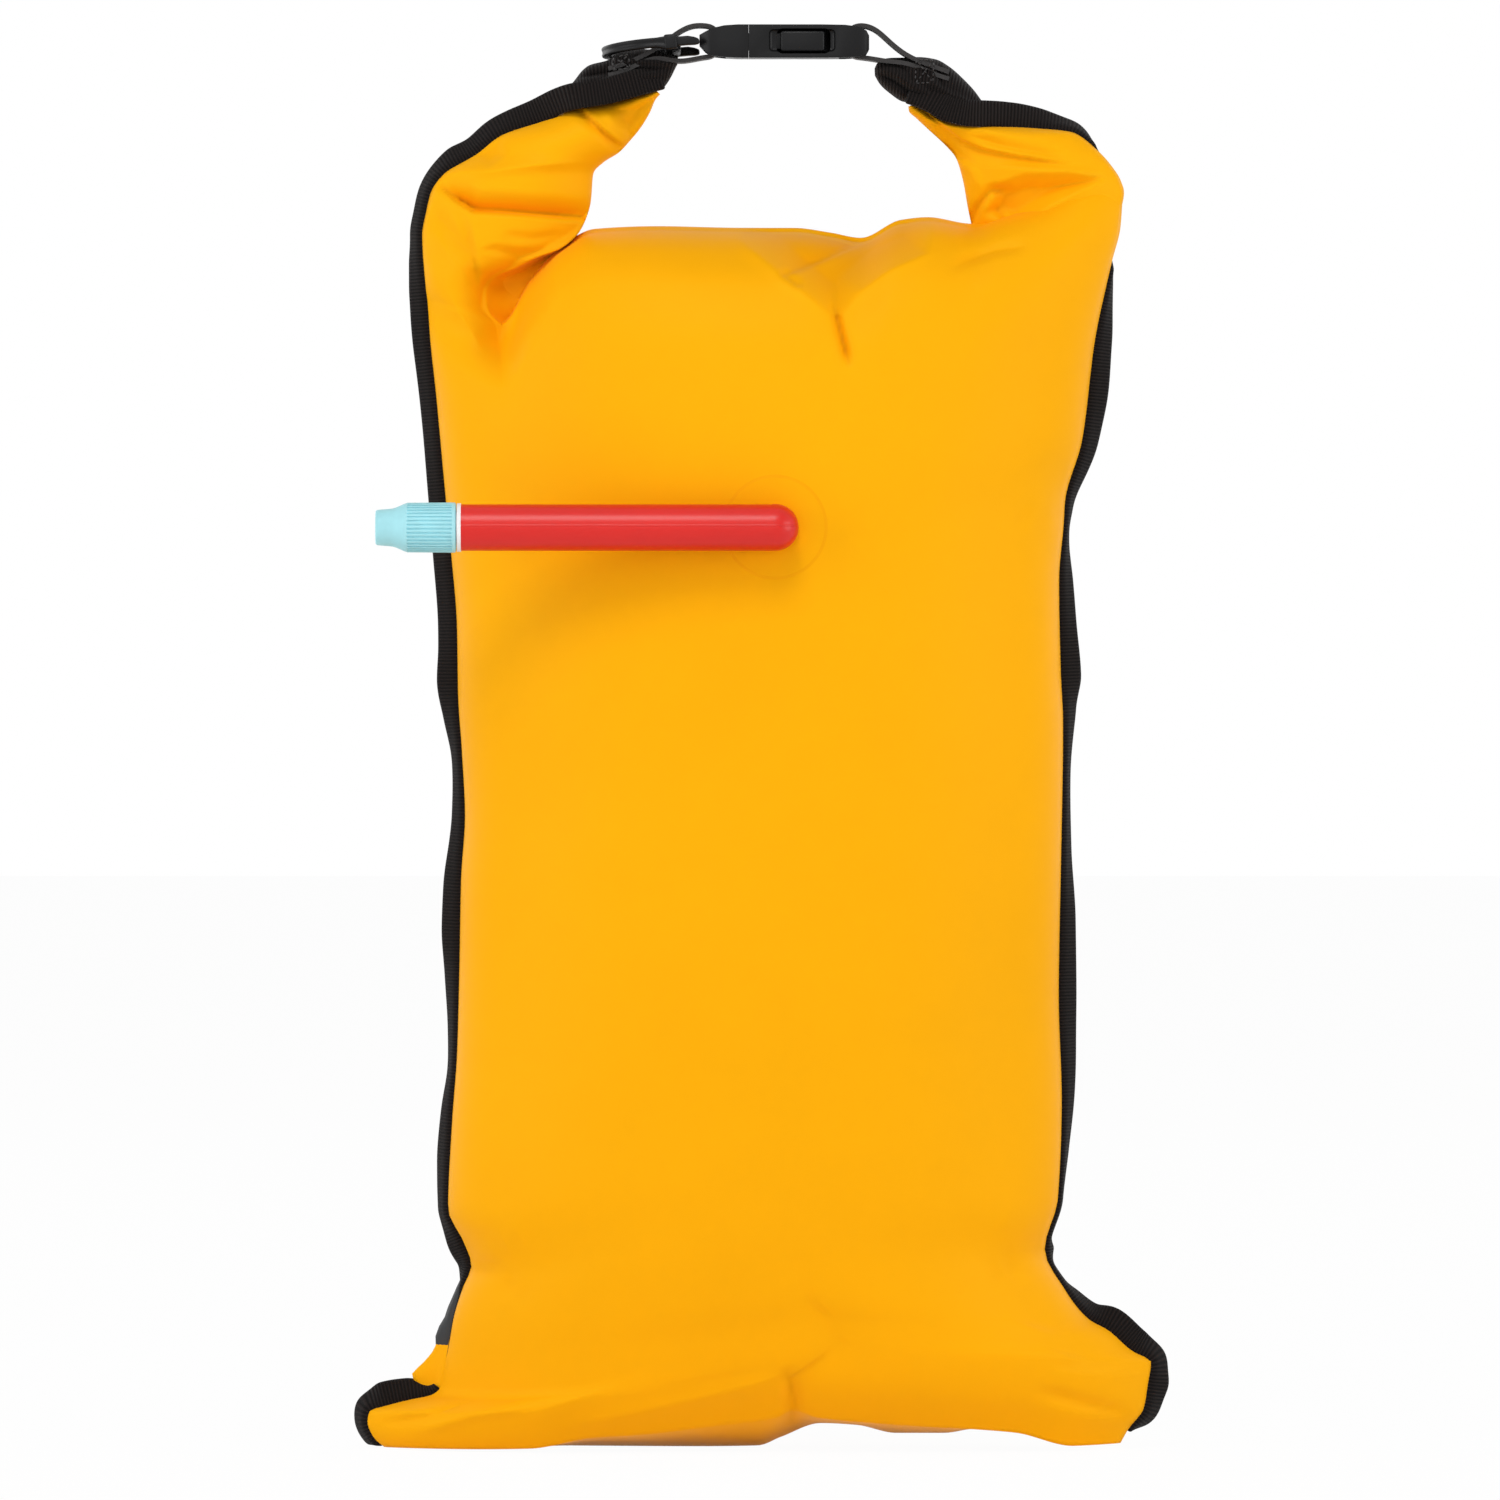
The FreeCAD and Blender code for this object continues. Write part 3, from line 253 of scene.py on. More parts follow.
class BagColours(bpy.types.PropertyGroup):
    fabric: FloatVectorProperty(
        name="Fabric", description="Colour of the coated fabric", default=(1.0, 0.443, 0.0022),
        subtype="COLOR", size=3, min=0, max=1)
    patch: FloatVectorProperty(
        name="Back Patch", description="Colour of the panel on the back", default=(0.064, 0.066, 0.069),
        subtype="COLOR", size=3, min=0, max=1)
    tape: FloatVectorProperty(
        name="Tape", description="Colour of the binding tape and webbing", default=(0.0092, 0.0064, 0.0058),
        subtype="COLOR", size=3, min=0, max=1)
    plastic: FloatVectorProperty(
        name="Buckle Plastic", description="Colour of the buckle and the ring", default=(0.005, 0.005, 0.0055),
        subtype="COLOR", size=3, min=0, max=1)
    tube: FloatVectorProperty(
        name="Tube", description="Colour of the inflation tube", default=(0.71, 0.012, 0.007),
        subtype="COLOR", size=3, min=0, max=1)
    valve: FloatVectorProperty(
        name="Valve Cap", description="Colour of the twist cap", default=(0.41, 0.80, 0.87),
        subtype="COLOR", size=3, min=0, max=1)
    neck: FloatVectorProperty(
        name="Valve Neck", description="Colour of the neck under the cap", default=(0.92, 0.92, 0.92),
        subtype="COLOR", size=3, min=0, max=1)


# ---- shared shaping ---------------------------------------------------------

def through(knots):
    """A smooth line without overshoot through rows of (share, values), as a function."""
    table = np.array(knots, float)
    at, rows = table[:, 0], table[:, 1:]
    step = np.diff(at)[:, None]
    slope = np.diff(rows, axis=0) / step
    tangent = np.zeros_like(rows)
    near, far = 2 * step[1:] + step[:-1], step[1:] + 2 * step[:-1]
    same = slope[:-1] * slope[1:] > 0
    safe_low, safe_high = np.where(same, slope[:-1], 1.0), np.where(same, slope[1:], 1.0)
    tangent[1:-1] = np.where(same, (near + far) / (near / safe_low + far / safe_high), 0.0)
    tangent[0], tangent[-1] = slope[0], slope[-1]

    def line(share):
        share = np.clip(np.asarray(share, float), at[0], at[-1])
        i = np.clip(np.searchsorted(at, share, side="right") - 1, 0, len(at) - 2)
        h = (at[i + 1] - at[i])[..., None]
        t = ((share - at[i]) / (at[i + 1] - at[i]))[..., None]
        low = (1 + 2 * t) * (1 - t) ** 2 * rows[i] + t * (1 - t) ** 2 * h * tangent[i]
        high = t * t * (3 - 2 * t) * rows[i + 1] + t * t * (t - 1) * h * tangent[i + 1]
        return low + high

    return line


def reached(points):
    """Length along a line up to each of its points."""
    return np.concatenate([[0], np.cumsum(np.linalg.norm(np.diff(points, axis=0), axis=1))])


def along(points, count):
    """Points spaced evenly along a smooth line through the given ones."""
    points = np.array(points, float)
    reach = reached(points[:, :2])
    return through(np.column_stack([reach / reach[-1], points]))(np.linspace(0, 1, count))


def ease(value, low, high):
    """0 below low, 1 above high and smooth between."""
    t = np.clip((value - low) / (high - low), 0, 1)
    return t * t * (3 - 2 * t)


def between(start, end, count):
    """Rows of points from one line of points to another."""
    return np.stack([start * (1 - t) + end * t for t in np.linspace(0, 1, count)])


def line_gap(x, z, a, b):
    """Distance of each place from the line a to b, and how far along the line that is."""
    along_x, along_z = b[0] - a[0], b[1] - a[1]
    t = np.clip(((x - a[0]) * along_x + (z - a[1]) * along_z) / (along_x ** 2 + along_z ** 2), 0, 1)
    return np.hypot(x - a[0] - t * along_x, z - a[1] - t * along_z), t


def fold_press(x, z, folds):
    """How far creases push the cloth in at each place, in millimetres, steepest at the crease."""
    pressed = np.zeros_like(x)
    for left, right, depth, *path in folds:
        total = sum(math.dist(a, b) for a, b in zip(path, path[1:]))
        nearest, share, on_left = np.full_like(x, 1e9), np.zeros_like(x), np.zeros(x.shape, bool)
        done = 0.0
        for a, b in zip(path, path[1:]):
            gap, t = line_gap(x, z, a, b)
            side = (b[0] - a[0]) * (z - a[1]) - (b[1] - a[1]) * (x - a[0])
            nearer = gap < nearest
            nearest = np.where(nearer, gap, nearest)
            on_left = np.where(nearer, side > 0, on_left)
            share = np.where(nearer, (done + t * math.dist(a, b)) / total, share)
            done += math.dist(a, b)
        strength = ease(share, -0.02, 0.28) * (1 - ease(share, 0.72, 1.02))
        pressed += depth * strength * np.clip(1 - nearest / np.where(on_left, left, right), 0, 1) ** 1.6
    return pressed


def dent_press(x, z, dents):
    """How far flat-sided hollows push the cloth in at each place, in millimetres."""
    pressed = np.zeros_like(x)
    for depth, slope, *outline in dents:
        inside, rim = np.zeros(x.shape, bool), np.full_like(x, 1e9)
        for a, b in zip(outline, outline[1:] + outline[:1]):
            rim = np.minimum(rim, line_gap(x, z, a, b)[0])
            if a[1] != b[1]:
                inside ^= ((a[1] > z) != (b[1] > z)) & (x < a[0] + (b[0] - a[0]) * (z - a[1]) / (b[1] - a[1]))
        pressed += np.where(inside, depth * np.clip(rim / slope, 0, 1), 0.0)
    return pressed


def pressed_in(x, z, folds, dents):
    """Creases and hollows together."""
    return fold_press(x, z, folds) + dent_press(x, z, dents)


def rung_grid(rungs, columns, rows):
    """X and Z of a grid between the ends of rungs, shares across it, the rungs' other values, the length."""
    table = np.array(rungs, float)
    reach = reached((table[:, :2] + table[:, 2:4]) / 2)
    found = through(np.column_stack([reach / reach[-1], table]))(np.linspace(0, 1, rows + 1))
    a = np.linspace(0, 1, columns + 1)[None, :]
    x, z = (found[:, k:k + 1] * (1 - a) + found[:, k + 2:k + 3] * a for k in (0, 1))
    return x, z, a, found[:, 4:], reach[-1]


def grid_faces(rows, columns, start=0, turned=False):
    """Quads of a grid of points, row by row."""
    i, j = np.meshgrid(np.arange(rows - 1), np.arange(columns - 1), indexing="ij")
    a = (start + i * columns + j).ravel()
    quads = np.column_stack([a, a + 1, a + columns + 1, a + columns])
    return quads[:, ::-1].tolist() if turned else quads.tolist()


def mesh_from(name, points, faces, uvs=None):
    """An object from millimetre points and faces, with a UV map in metres."""
    mesh = bpy.data.meshes.new(name)
    mesh.from_pydata((np.asarray(points, float) * MM).tolist(), [], [list(f) for f in faces])
    if uvs is not None:
        layer = mesh.uv_layers.new(name="UVMap")
        uvs = np.asarray(uvs, float) * MM
        for loop in mesh.loops:
            layer.data[loop.index].uv = uvs[loop.vertex_index]
    piece = bpy.data.objects.new(name, mesh)
    bpy.context.scene.collection.objects.link(piece)
    return piece


class Sheets:
    """Grids of points, with their UVs in millimetres, that make up one piece."""

    def __init__(self):
        self.points, self.faces, self.uvs = [], [], []

    def add(self, sheet, across, up, turned=False):
        """Adds a grid; two numbers for its UVs are the ends of an even row."""
        if len(across) == 2:
            across = np.linspace(*across, sheet.shape[1])
        if len(up) == 2:
            up = np.linspace(*up, sheet.shape[0])
        self.faces += grid_faces(*sheet.shape[:2], len(self.points), turned)
        self.points += sheet.reshape(-1, 3).tolist()
        self.uvs += np.stack(np.meshgrid(across, up), -1).reshape(-1, 2).tolist()

    def sewn(self, name):
        return weld(mesh_from(name, self.points, self.faces, self.uvs), 0.00003)


def mark_painted_crease_shade(piece, folds, dents, share, where):
    """Marks painted shade: how far each place of the front lies in a crease, as the share by which the fabric's colour
    darkens there.
    """
    x, y, z = (np.array([v.co for v in piece.data.vertices]) / MM).T
    depth = np.clip(pressed_in(x, z, folds, dents) * share, 0, 1)
    layer = piece.data.attributes.get("hollow") or piece.data.attributes.new("hollow", "FLOAT", "POINT")
    before = np.zeros(len(x), np.float32)
    layer.data.foreach_get("value", before)
    layer.data.foreach_set("value", np.where(where(x, y, z), depth, before).astype(np.float32))


def deselect():
    """Leaves edit mode with nothing selected."""
    if bpy.context.object and bpy.context.object.mode != "OBJECT":
        bpy.ops.object.mode_set(mode="OBJECT")
    bpy.ops.object.select_all(action="DESELECT")


def only(piece, *others):
    """Selects just these pieces and makes the first one active."""
    deselect()
    for item in (piece, *others):
        item.select_set(True)
    bpy.context.view_layer.objects.active = piece
    return piece


@contextlib.contextmanager
def mesh_work(piece):
    """A piece's mesh to work on outside edit mode."""
    work = bmesh.new()
    work.from_mesh(piece.data)
    yield work
    work.to_mesh(piece.data)
    work.free()
    piece.data.update()


def weld(piece, gap=0.00002):
    """Merges doubles and turns the faces outwards."""
    with mesh_work(piece) as work:
        bmesh.ops.remove_doubles(work, verts=work.verts, dist=gap)
        bmesh.ops.delete(work, geom=[v for v in work.verts if not v.link_faces], context="VERTS")
        bmesh.ops.recalc_face_normals(work, faces=work.faces)
    return piece


def apply_modifier(piece, kind, **values):
    """Adds a modifier and applies it."""
    only(piece)
    modifier = piece.modifiers.new(kind.title(), kind)
    for key, value in values.items():
        setattr(modifier, key, value)
    bpy.ops.object.modifier_apply(modifier=modifier.name)
    return piece


def smooth(piece, degrees=None):
    """Shades a piece smooth, all over or up to an angle."""
    only(piece)
    if degrees is None:
        bpy.ops.object.shade_smooth()
    else:
        bpy.ops.object.shade_smooth_by_angle(angle=math.radians(degrees))
    return piece


def dress(piece, finish):
    """Gives a piece one of the shared materials."""
    piece.data.materials.clear()
    piece.data.materials.append(finish_named(finish))
    return piece


# ---- materials --------------------------------------------------------------

def add_node(tree, kind, inputs=(), **settings):
    """A node; its inputs are values or outputs of other nodes, by name or number."""
    node = tree.nodes.new(kind)
    for key, value in settings.items():
        setattr(node, key, value)
    for key, value in dict(inputs).items():
        if isinstance(value, bpy.types.NodeSocket):
            tree.links.new(value, node.inputs[key])
        else:
            node.inputs[key].default_value = value
    return node


def sum_node(tree, operation, *values):
    return add_node(tree, "ShaderNodeMath", enumerate(values), operation=operation).outputs["Value"]


def start_material(name, **looks):
    """A material with its node tree and shader; Sheen_Weight stands for the shader's Sheen Weight."""
    material = bpy.data.materials.new(name)
    material.use_nodes = True
    shader = material.node_tree.nodes["Principled BSDF"]
    for key, value in looks.items():
        shader.inputs[key.replace("_", " ")].default_value = value
    return material, material.node_tree, shader


def place_from(tree, output="Object"):
    return add_node(tree, "ShaderNodeTexCoord").outputs[output]


def cloud(tree, place, scale, detail=2.0, roughness=0.5):
    """Soft noise."""
    values = {"Vector": place, "Scale": scale, "Detail": detail, "Roughness": roughness}
    return add_node(tree, "ShaderNodeTexNoise", values).outputs["Fac"]


def bands(tree, place, pitch, axis, distortion=0.0, detail=2.0):
    """Waves, one every pitch, across an axis."""
    values = {"Vector": place, "Scale": WAVE_SCALE / pitch, "Distortion": distortion, "Detail": detail}
    return add_node(tree, "ShaderNodeTexWave", values, bands_direction=axis).outputs["Fac"]


def weave(tree, place, pitch_u, pitch_v, axes=("X", "Y")):
    """Two crossed bands, as warp and weft."""
    return sum_node(tree, "MULTIPLY", bands(tree, place, pitch_u, axes[0]), bands(tree, place, pitch_v, axes[1]))


def faded(tree, value, near, far, most, **settings):
    """The most below near, nothing above far."""
    values = {"Value": value, "From Min": near, "From Max": far, "To Min": most, "To Max": 0.0}
    return add_node(tree, "ShaderNodeMapRange", values, **settings).outputs["Result"]


def two_tones(tree, value, low, low_tone, high, high_tone):
    """One tone up to a low value and another from a high value on."""
    node = add_node(tree, "ShaderNodeValToRGB", {"Fac": value})
    for stop, position, tone in zip(node.color_ramp.elements, (low, high), (low_tone, high_tone)):
        stop.position, stop.color = position, (*tone, 1)
    return node.outputs["Color"]


def scaled(colour, *shares):
    """A colour, each channel times its share, or all of them times the only one."""
    return [c * share for c, share in zip(colour, shares * 3 if len(shares) == 1 else shares)]


def mottled(tree, colour, darker, scale):
    """A colour mixed with a darker tone of it by soft noise."""
    return two_tones(tree, cloud(tree, place_from(tree), scale, 4.0, 0.55), 0.30, scaled(colour, darker), 0.72, colour)


def with_painted_shade(tree, colour, painted_shade, share):
    """A colour that turns into a darker painted shade colour by a share."""
    return add_node(tree, "ShaderNodeMix", {0: share, 6: colour, 7: (*painted_shade, 1)}, data_type="RGBA").outputs[2]


def paint(tree, shader, colour):
    tree.links.new(colour, shader.inputs["Base Color"])


def relief(tree, shader, height, strength, distance):
    bump = add_node(tree, "ShaderNodeBump", {"Height": height, "Strength": strength, "Distance": distance})
    tree.links.new(bump.outputs["Normal"], shader.inputs["Normal"])


def coated_fabric(name, colour, darker=0.94):
    """Satin coating over a fine weave, with painted shade in its creases; the welded flange's rim shows through as a
    bump and a thin line of painted shade.
    """
    pitch = bpy.context.scene.bag_sizes.weave_pitch
    material, tree, shader = start_material(
        name, Roughness=0.5, Specular_IOR_Level=0.04, Sheen_Weight=0.025, Sheen_Roughness=0.35)
    low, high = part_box("tube_flange")
    radius = (high.x - low.x) / 2
    reach = add_node(tree, "ShaderNodeVectorMath", {0: place_from(tree), 1: (low + high) / 2}, operation="DISTANCE")
    reach = reach.outputs["Value"]
    # Painted shade: a thin dark line along the flange's rim, added to the painted crease shade; together they turn the
    # colour towards a darker, more orange tone.
    ring = sum_node(tree, "COMPARE", reach, radius, 0.0006)
    hollow = add_node(tree, "ShaderNodeAttribute", attribute_name="hollow").outputs["Fac"]
    painted_shade = sum_node(tree, "MULTIPLY_ADD", ring, 0.3, hollow)
    paint(tree, shader, with_painted_shade(tree, mottled(tree, colour, darker, 9.0), scaled(colour, 0.86, 0.66, 0.3), painted_shade))
    place = place_from(tree, "UV")
    grain = sum_node(tree, "MULTIPLY_ADD", weave(tree, place, pitch, pitch), 0.6, cloud(tree, place, 420.0))
    rim = faded(tree, reach, radius - 0.0008, radius + 0.0008, 9.0, interpolation_type="SMOOTHSTEP")
    relief(tree, shader, sum_node(tree, "ADD", grain, rim), 0.3, 0.00008)
    return material


def ribbed_tape(name, colour):
    """Grosgrain: ribs across the tape, matt, with a faint fuzz; the ribs' tops get painted light and the gaps between
    them painted shade.
    """
    material, tree, shader = start_material(
        name, Roughness=0.85, Specular_IOR_Level=0.10, Sheen_Weight=0.05, Sheen_Roughness=0.5)
    place = place_from(tree, "UV")
    ribs = bands(tree, place, bpy.context.scene.bag_sizes.rib_pitch, "X", 0.6, 1.0)
    # Painted light and shade on the ribs: darker between them, lighter on their tops; the same bands give the bump.
    paint(tree, shader, two_tones(tree, ribs, 0.25, scaled(colour, 0.35), 0.85, scaled(colour, 1.5)))
    relief(tree, shader, sum_node(tree, "MULTIPLY_ADD", cloud(tree, place, 2600.0), 0.35, ribs), 0.9, 0.0005)
    return material


def woven_webbing(name, colour):
    """Flat polypropylene webbing with a plain weave."""
    material, tree, shader = start_material(name, Roughness=0.62, Sheen_Weight=0.15)
    paint(tree, shader, mottled(tree, colour, 0.6, 500.0))
    relief(tree, shader, weave(tree, place_from(tree), 0.0014, 0.0009, ("Y", "DIAGONAL")), 0.6, 0.0004)
    return material


def moulded_plastic(name, colour, roughness=0.36, grain=0.05, groove=None):
    """Moulded plastic with a faint grain; where a mask is given, the piece's grooves get painted shade."""
    material, tree, shader = start_material(name, Roughness=roughness, Specular_IOR_Level=0.2)
    tone = mottled(tree, colour, 0.8, 60.0)
    # Painted shade in the grooves between the ribs.
    if groove:
        groove_shade_mask = add_node(tree, "ShaderNodeAttribute", attribute_name="groove").outputs["Fac"]
        tone = with_painted_shade(tree, tone, scaled(colour, *groove), groove_shade_mask)
    paint(tree, shader, tone)
    relief(tree, shader, cloud(tree, place_from(tree), 1800.0), grain, 0.0002)
    return material


def soft_vinyl(name, colour):
    """Glossy tube with the fine line where its mould parted."""
    material, tree, shader = start_material(
        name, Roughness=0.36, Specular_IOR_Level=0.35, Coat_Weight=0.1, Coat_Roughness=0.2,
        Subsurface_Weight=0.05, Subsurface_Radius=(0.003, 0.0008, 0.0006))
    paint(tree, shader, mottled(tree, colour, 0.93, 30.0))
    low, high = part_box("tube")
    height = add_node(tree, "ShaderNodeSeparateXYZ", {"Vector": place_from(tree)}).outputs["Z"]
    gap = sum_node(tree, "ABSOLUTE", sum_node(tree, "SUBTRACT", height, low.z + (high.z - low.z) * 0.55))
    relief(tree, shader, faded(tree, gap, 0.00012, 0.0004, 1.0), 0.5, 0.00025)
    return material


def plain_finish(name, colour, darker, scale, **looks):
    """One mottled colour without relief: the clear flange and the cut rubber."""
    material, tree, shader = start_material(name, **looks)
    paint(tree, shader, mottled(tree, colour, darker, scale))
    return material


def sewn_thread(name, colour):
    """Twisted polyester thread."""
    material, tree, shader = start_material(name, Roughness=0.5, Sheen_Weight=0.05)
    paint(tree, shader, mottled(tree, colour, 0.5, 900.0))
    relief(tree, shader, bands(tree, place_from(tree), 0.0005, "DIAGONAL"), 0.6, 0.0002)
    return material


def finish_named(name):
    """The shared materials, each made once."""
    label = name + "_finish"
    if label in bpy.data.materials:
        return bpy.data.materials[label]
    colours = bpy.context.scene.bag_colours
    makers = {
        "coated_fabric": lambda: coated_fabric(label, colours.fabric),
        "patch_fabric": lambda: coated_fabric(label, colours.patch, 0.82),
        "binding_tape": lambda: ribbed_tape(label, colours.tape),
        "webbing": lambda: woven_webbing(label, colours.tape),
        "buckle_plastic": lambda: moulded_plastic(label, colours.plastic),
        "ring_plastic": lambda: moulded_plastic(label, colours.plastic, 0.42, 0.08),
        "tube_vinyl": lambda: soft_vinyl(label, colours.tube),
        # The cap's colour times these shares is the painted shade in its grooves.
        "valve_plastic": lambda: moulded_plastic(label, colours.valve, 0.45, 0.02, (0.22, 0.45, 0.46)),
        "neck_plastic": lambda: moulded_plastic(label, colours.neck, 0.35, 0.03),
        "seal_rubber": lambda: plain_finish(label, (0.10, 0.10, 0.10), 0.7, 300.0, Roughness=0.7),
        "flange_film": lambda: plain_finish(
            label, (0.9, 0.88, 0.82), 0.95, 80.0, Roughness=0.25, Transmission_Weight=0.6),
        "thread": lambda: sewn_thread(label, (0.015, 0.012, 0.012)),
        "stiffener": lambda: moulded_plastic(label, (0.5, 0.5, 0.5), 0.5, 0.1),
    }
    return makers[name]()

# ---- fabric -----------------------------------------------------------------

def body_sheet(side):
    """X, Y, Z of one side of the body, row by row, and its shares across and up."""
    sizes = bpy.context.scene.bag_sizes
    # Columns are closer together up to the pocket, rows at the foot and below the fold at the top.
    across = np.concatenate([np.linspace(0, POCKET_SHARE, sizes.arm_columns + 1),
                             np.linspace(POCKET_SHARE, 1, sizes.shell_columns + 1)[1:]])
    up = np.interp(np.linspace(0, 1, sizes.shell_rows + 1),
                   (0.0, 0.19, 0.62, 0.93, 1.0), (0.0, 0.115, 0.84, 0.985, 1.0))
    left, right = through(LEFT_EDGE)(up), through(RIGHT_EDGE)(up)
    low, high = through(FOOT_CREASE if side < 0 else FOOT_EDGE)(across), through(TOP_FOLD)(across)
    u, v = across[None, :, None], up[:, None, None]
    corners = ((1 - u) * (1 - v) * low[0] + u * (1 - v) * low[-1]
               + (1 - u) * v * high[0] + u * v * high[-1])
    flat = ((1 - u) * left[:, None] + u * right[:, None] + (1 - v) * low[None] + v * high[None] - corners)
    x, z = flat[..., 0], flat[..., 1]
    front, back, square, point = [c[:, None] for c in through(DEPTHS)(up).T]
    reach = np.clip(1 - np.abs(2 * across[None, :] - 1) ** square, 0, 1) ** point
    # Towards the left arm's root the depth turns into the arm's.
    window = (1 - ease(across, POCKET_SHARE, 0.19))[None, :] * ease(up, 0.90, 1.0)[:, None]
    arm = 12.0 * np.sin(math.pi * np.clip(across / POCKET_SHARE, 0, 1) * 0.8) ** 0.8
    root = np.where(across > POCKET_SHARE, 8.4, arm)[None, :]
    y = side * ((front if side < 0 else back) * reach * (1 - window) + root * window)
    if side < 0:
        edge_fade = ease(across, 0.0, 0.012) * (1 - ease(across, 0.985, 1.0))
        y = y + pressed_in(x, z, FRONT_FOLDS, FRONT_DENTS) * edge_fade[None, :]
    else:
        near = ease(across, 0.0, 0.014) * (1 - ease(across, 0.03, 0.22))
        x = x + 1.2 * near[None, :] * through(LEFT_OVERHANG)(z)[..., 0]
    return np.stack([x, y, z], -1), across, up


def arm_sheets(rungs, folds, dents, open_root=False):
    """Front and back sheet of an arm, from its foot to its tip."""
    sizes = bpy.context.scene.bag_sizes
    x, z, a, values, _ = rung_grid(rungs, sizes.arm_columns, sizes.arm_rows)
    depth, lip = values[:, :1], values[:, 1:]
    edge_fade = ease(a, 0.0, 0.06)
    round_form = depth * np.sin(math.pi * a) ** 0.62
    sheets = []
    for side in (-1, 1):
        edge = (np.abs(lip) if side > 0 else lip) * ease(a, 0.45, 1.0)
        y = side * (np.maximum(round_form, edge) if open_root else round_form + edge * ease(a, 0.6, 1.0))
        if side < 0:
            y = y + pressed_in(x, z, folds, dents) * edge_fade
        else:
            y = y - fold_press(x, z, folds[::2]) * 0.6 * edge_fade
        sheets.append(np.stack([x, y, z], -1))
    return sheets


class BAG_OT_shell(bpy.types.Operator):
    """Makes the inflated body and the left arm as one sewn shell"""
    bl_idname = "bag.shell"
    bl_label = "Fabric Shell"

    def execute(self, context):
        inner, arm_rows = context.scene.bag_sizes.arm_columns, context.scene.bag_sizes.arm_rows
        sheets, cloth = {}, Sheets()
        for side in (-1, 1):
            sheets[side], across, up = body_sheet(side)
        seam = (sheets[-1][:, [0, -1]] + sheets[1][:, [0, -1]]) / 2
        seam[..., 1] = 0
        arms = dict(zip((-1, 1), arm_sheets(LEFT_ARM, LEFT_ARM_FOLDS, LEFT_ARM_DENTS, True)))
        joint_rows = max(4, arm_rows // 12)
        late = ease(np.arange(1, joint_rows), 0, joint_rows)[:, None]
        foot = through(FOOT_EDGE)(across)
        foot_line = np.stack([foot[:, 0], np.zeros(len(across)), foot[:, 1]], -1)
        for side, sheet in sheets.items():
            sheet[:, [0, -1]] = seam
            cloth.add(sheet, across * CLOTH_WIDTH, up * CLOTH_HEIGHT, side > 0)
            strip = np.array([foot_line + (sheet[0] - foot_line) * np.array([t, t ** 0.8, t])
                              for t in np.linspace(0, 1, 12)])
            strip[-1] = sheet[0]
            cloth.add(strip, across * CLOTH_WIDTH, (-26, 0), side > 0)
            arm = arms[side]
            arm[0] = sheet[-1, :inner + 1]
            arm[:, 0, 1] = 0
            arm[1:joint_rows, :, 1] = arm[1:joint_rows, :, 1] * late + arm[0, :, 1] * (1 - late)
            cloth.add(arm, across[:inner + 1] * CLOTH_WIDTH, (CLOTH_HEIGHT, ARM_END), side > 0)
        # Over the fold at the top, from the front to the back.
        sink = ease(across[inner:], 0.19, 0.26) * (1 - ease(across[inner:], 0.74, 0.80))
        steps = np.linspace(0, 1, 9)
        arc = between(sheets[-1][-1, inner:], sheets[1][-1, inner:], 9)
        arc[..., 2] += 1.6 * np.sin(math.pi * steps)[:, None] - 5.0 * ease(steps, 0.35, 1.0)[:, None] * sink[None]
        cloth.add(arc, across[inner:] * CLOTH_WIDTH, (CLOTH_HEIGHT, CLOTH_HEIGHT + 20))
        # The arm's inner edge and its tip.
        lip, rear_lip = arms[-1][:, -1], arms[1][:, -1]
        last = int(np.argmin(np.hypot(lip[:, 0] - POCKET_MOUTH[0], lip[:, 2] - POCKET_MOUTH[1])))
        cloth.add(between(lip[last:], rear_lip[last:], 4), (CLOTH_HEIGHT, ARM_END), (27, 40), True)
        cloth.add(between(arms[-1][-1], arms[1][-1], 3), across[:inner + 1] * CLOTH_WIDTH, (ARM_END, ARM_END + 6))
        # The pocket between the arm's lower edge and the fold: it runs in from the arm and
        # ends behind the fold.
        share = np.linspace(0, 1, last + 1)
        fold = through(TOP_FOLD)(POCKET_SHARE + (POCKET_END - POCKET_SHARE) * share)
        behind = np.stack([fold[:, 0], 3.0 - 10.8 * (1 - ease(share, 0.0, 0.15)),
                           fold[:, 1] - 2.0 * ease(share, 0, 0.2)], -1)
        pocket = between(lip[:last + 1], behind, 15)
        pocket[..., 1] += 8.0 * np.sin(math.pi * np.linspace(0, 1, 15) ** 0.8)[:, None] * ease(share, 0.0, 0.85)
        cloth.add(pocket, (0, 40), (0, 20))
        cloth.add(between(rear_lip[:last + 1], behind, 6), (0, 40), (0, 20), True)
        shell = smooth(cloth.sewn("bag_shell"))
        # Painted shade in the creases and hollows of the front and the left arm.
        mark_painted_crease_shade(shell, FRONT_FOLDS, FRONT_DENTS, 0.032, lambda x, y, z: (y < -1) & ((x > -96) | (z < 440)))
        mark_painted_crease_shade(shell, LEFT_ARM_FOLDS, LEFT_ARM_DENTS, 0.055,
                     lambda x, y, z: (y < -1) & (x < -30) & (z > 440 + np.clip(x + 100, 0, 12) * 1.5))
        dress(shell, "coated_fabric")
        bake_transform(shell)
        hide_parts("front_panel", "back_panel", "collar_arm_left")
        return {"FINISHED"}


